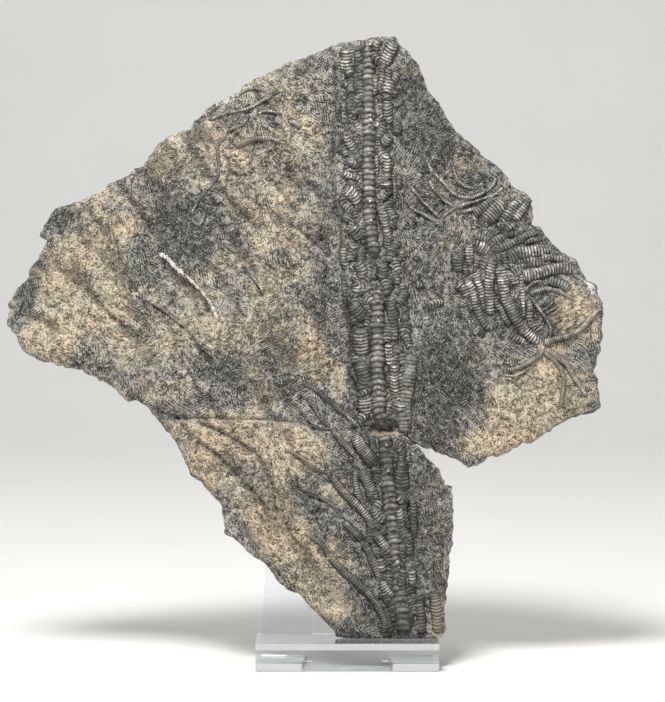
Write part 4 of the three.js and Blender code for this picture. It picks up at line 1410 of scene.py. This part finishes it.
def grow_mat(seed, mat):
    """Strands of one mat: (width, rubbed, points, lift) each."""
    cu, cv, ru, rv, direction, spread, length, count = mat
    chance = np.random.RandomState(seed)
    turn, reach = chance.uniform(0, 2 * np.pi, count), np.sqrt(chance.uniform(0, 1, count))
    u, v = cu + ru * reach * np.cos(turn), cv + rv * reach * np.sin(turn)
    base = np.radians(direction + 0.25 * spread * chance.normal(0, 1, count))
    steps = np.maximum(3, (length * chance.uniform(0.6, 1.4, count) / MAT_STEP).astype(int))
    tracks = [[(u[k], v[k])] for k in range(count)]
    for n in range(int(steps.max())):
        angle = base + np.radians(spread) * 1.4 * noise(u, v, SWIRL_SIZE, 80 + seed % 5)
        u, v = u + MAT_STEP * np.cos(angle), v + MAT_STEP * np.sin(angle)
        for k in np.nonzero(steps > n)[0]:
            tracks[k].append((u[k], v[k]))
    widths, shines = chance.uniform(0.4, 0.75, count), chance.uniform(0, 1, count) ** 2
    return [(widths[k], shines[k], tracks[k], PINNULE_LIFT) for k in range(count)]


for name, mats in (("pinnules_right", MATS_RIGHT), ("pinnules_left", MATS_LEFT)):
    strands = [strand for k, mat in enumerate(mats) for strand in grow_mat(20 + k, mat)]
    make_joints(name, strands, PINNULE_JOINTS, taper=0.3, sink=0.25, finish=shale_finish)

# %% [markdown]
# ## The easel
#
# The easel is one moulding in clear plastic. Its solid in the frame already has the right
# walls, so the visible piece is a copy of it, with its facets merged back into flat faces
# and its edges given the small round that a mould leaves. The round matters: it is where
# clear plastic catches the light.

# %% Easel
EDGE_ROUND = 0.3
FLAT_WITHIN = math.radians(2)
SHARP_FROM = math.radians(40)


def make_easel():
    mesh = bpy.data.objects["stand"].data.copy()
    form = bmesh.new()
    form.from_mesh(mesh)
    bmesh.ops.remove_doubles(form, verts=form.verts, dist=0.01 * MM)
    bmesh.ops.dissolve_limit(form, angle_limit=FLAT_WITHIN, verts=form.verts, edges=form.edges)
    form.to_mesh(mesh)
    form.free()
    mesh.materials.clear()
    piece = show("clear_easel", mesh)
    bevel = piece.modifiers.new("moulded edges", "BEVEL")
    bevel.width = EDGE_ROUND * MM
    bevel.segments = 2
    bevel.limit_method = "ANGLE"
    bevel.angle_limit = SHARP_FROM
    return piece


def clear_plastic():
    finish = Finish("clear_plastic")
    handling = finish.noise(14, 4, 0.6)
    scuffs = finish.ramp(finish.noise(1.8, 3, 0.7), 0.55, 0.8)
    return finish.surface(
        Base_Color=(0.955, 0.975, 0.99, 1), Roughness=0.02 + handling * 0.05 + scuffs * 0.04, IOR=1.49,
        Transmission_Weight=1.0, Normal=finish.bump(handling, 0.05, 0.3))


easel = make_easel()
easel.data.materials.append(clear_plastic())
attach(easel, "root")
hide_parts("stand")
print("easel faces:", len(easel.data.polygons))

# %% [markdown]
# ## The studio
#
# A pale floor, a big soft light above and in front, and a weaker one from the side. The high
# light rakes across the leaning face, so every joint shows its own small shadow.

# %% Floor, lights and camera
FLOOR_HALF_WIDTH, FLOOR_FRONT, FLOOR_BACK, FLOOR_BEND, FLOOR_TOP = 1.5, -1.5, 0.7, 0.5, 2.2
FLOOR_GAP = 0.0002
FLOOR_DARK, FLOOR_LIGHT = (0.78, 0.775, 0.76, 1), (0.82, 0.815, 0.80, 1)
CAMERA_DISTANCE, CAMERA_TILT = 0.800, math.radians(3)
CAMERA_AIM = (-4.03, 79.86, 0.0)
SENSOR, LENS = 36.0, 147.2
SKY_COLOUR, SKY_STRENGTH = (1.0, 0.99, 0.97, 1), 0.28


def make_floor():
    """A floor that curves up into a backdrop."""
    level = stand_low[2] - FLOOR_GAP
    profile = [(FLOOR_FRONT, level)]
    for degrees in range(0, 91, 6):
        turn = math.radians(degrees)
        back = FLOOR_BACK + FLOOR_BEND * math.sin(turn)
        profile.append((back, level + FLOOR_BEND * (1 - math.cos(turn))))
    profile.append((FLOOR_BACK + FLOOR_BEND, FLOOR_TOP))
    spots = [(x, y, z) for y, z in profile for x in (-FLOOR_HALF_WIDTH, FLOOR_HALF_WIDTH)]
    faces = [(2 * k, 2 * k + 1, 2 * k + 3, 2 * k + 2) for k in range(len(profile) - 1)]
    mesh = bpy.data.meshes.new("floor")
    mesh.from_pydata(spots, [], faces)
    mesh.shade_smooth()
    finish = Finish("studio_floor")
    colour = finish.blend(finish.noise(60, 2, 0.5), FLOOR_DARK, FLOOR_LIGHT)
    mesh.materials.append(finish.surface(Base_Color=colour, Roughness=0.75))
    show("floor", mesh)


def add_light(name, where, watts, size, target):
    lamp = bpy.data.lights.new(name, "AREA")
    lamp.energy = watts
    lamp.size = size
    light = show(name, lamp)
    light.location = where
    light.rotation_euler = (Vector(target) - Vector(where)).to_track_quat("-Z", "Y").to_euler()


def add_camera():
    data = bpy.data.cameras.new("camera")
    data.sensor_fit = "VERTICAL"
    data.sensor_height = SENSOR
    data.lens = LENS
    camera = show("camera", data)
    back_off = Vector((0, -math.cos(CAMERA_TILT), math.sin(CAMERA_TILT))) * CAMERA_DISTANCE
    camera.location = Vector(place(*CAMERA_AIM)) + back_off
    camera.rotation_euler = (math.pi / 2 - CAMERA_TILT, 0, 0)
    bpy.context.scene.camera = camera


make_floor()
middle = place(-5, 85, 0).tolist()
add_light("key", (-0.10, -0.30, 0.66), 5.2, 0.2, middle)
add_light("side", (0.75, -0.5, 0.35), 0.9, 0.5, middle)
add_light("backdrop", (0.0, 0.35, 1.3), 7.0, 1.0, (0, 1.1, 0.4))
world = bpy.data.worlds.new("studio")
bpy.context.scene.world = world
world.use_nodes = True
sky = world.node_tree.nodes["Background"].inputs
sky["Color"].default_value = SKY_COLOUR
sky["Strength"].default_value = SKY_STRENGTH
bpy.context.scene.view_settings.view_transform = "Standard"
add_camera()
print("camera at", [round(c, 3) for c in bpy.context.scene.camera.location])
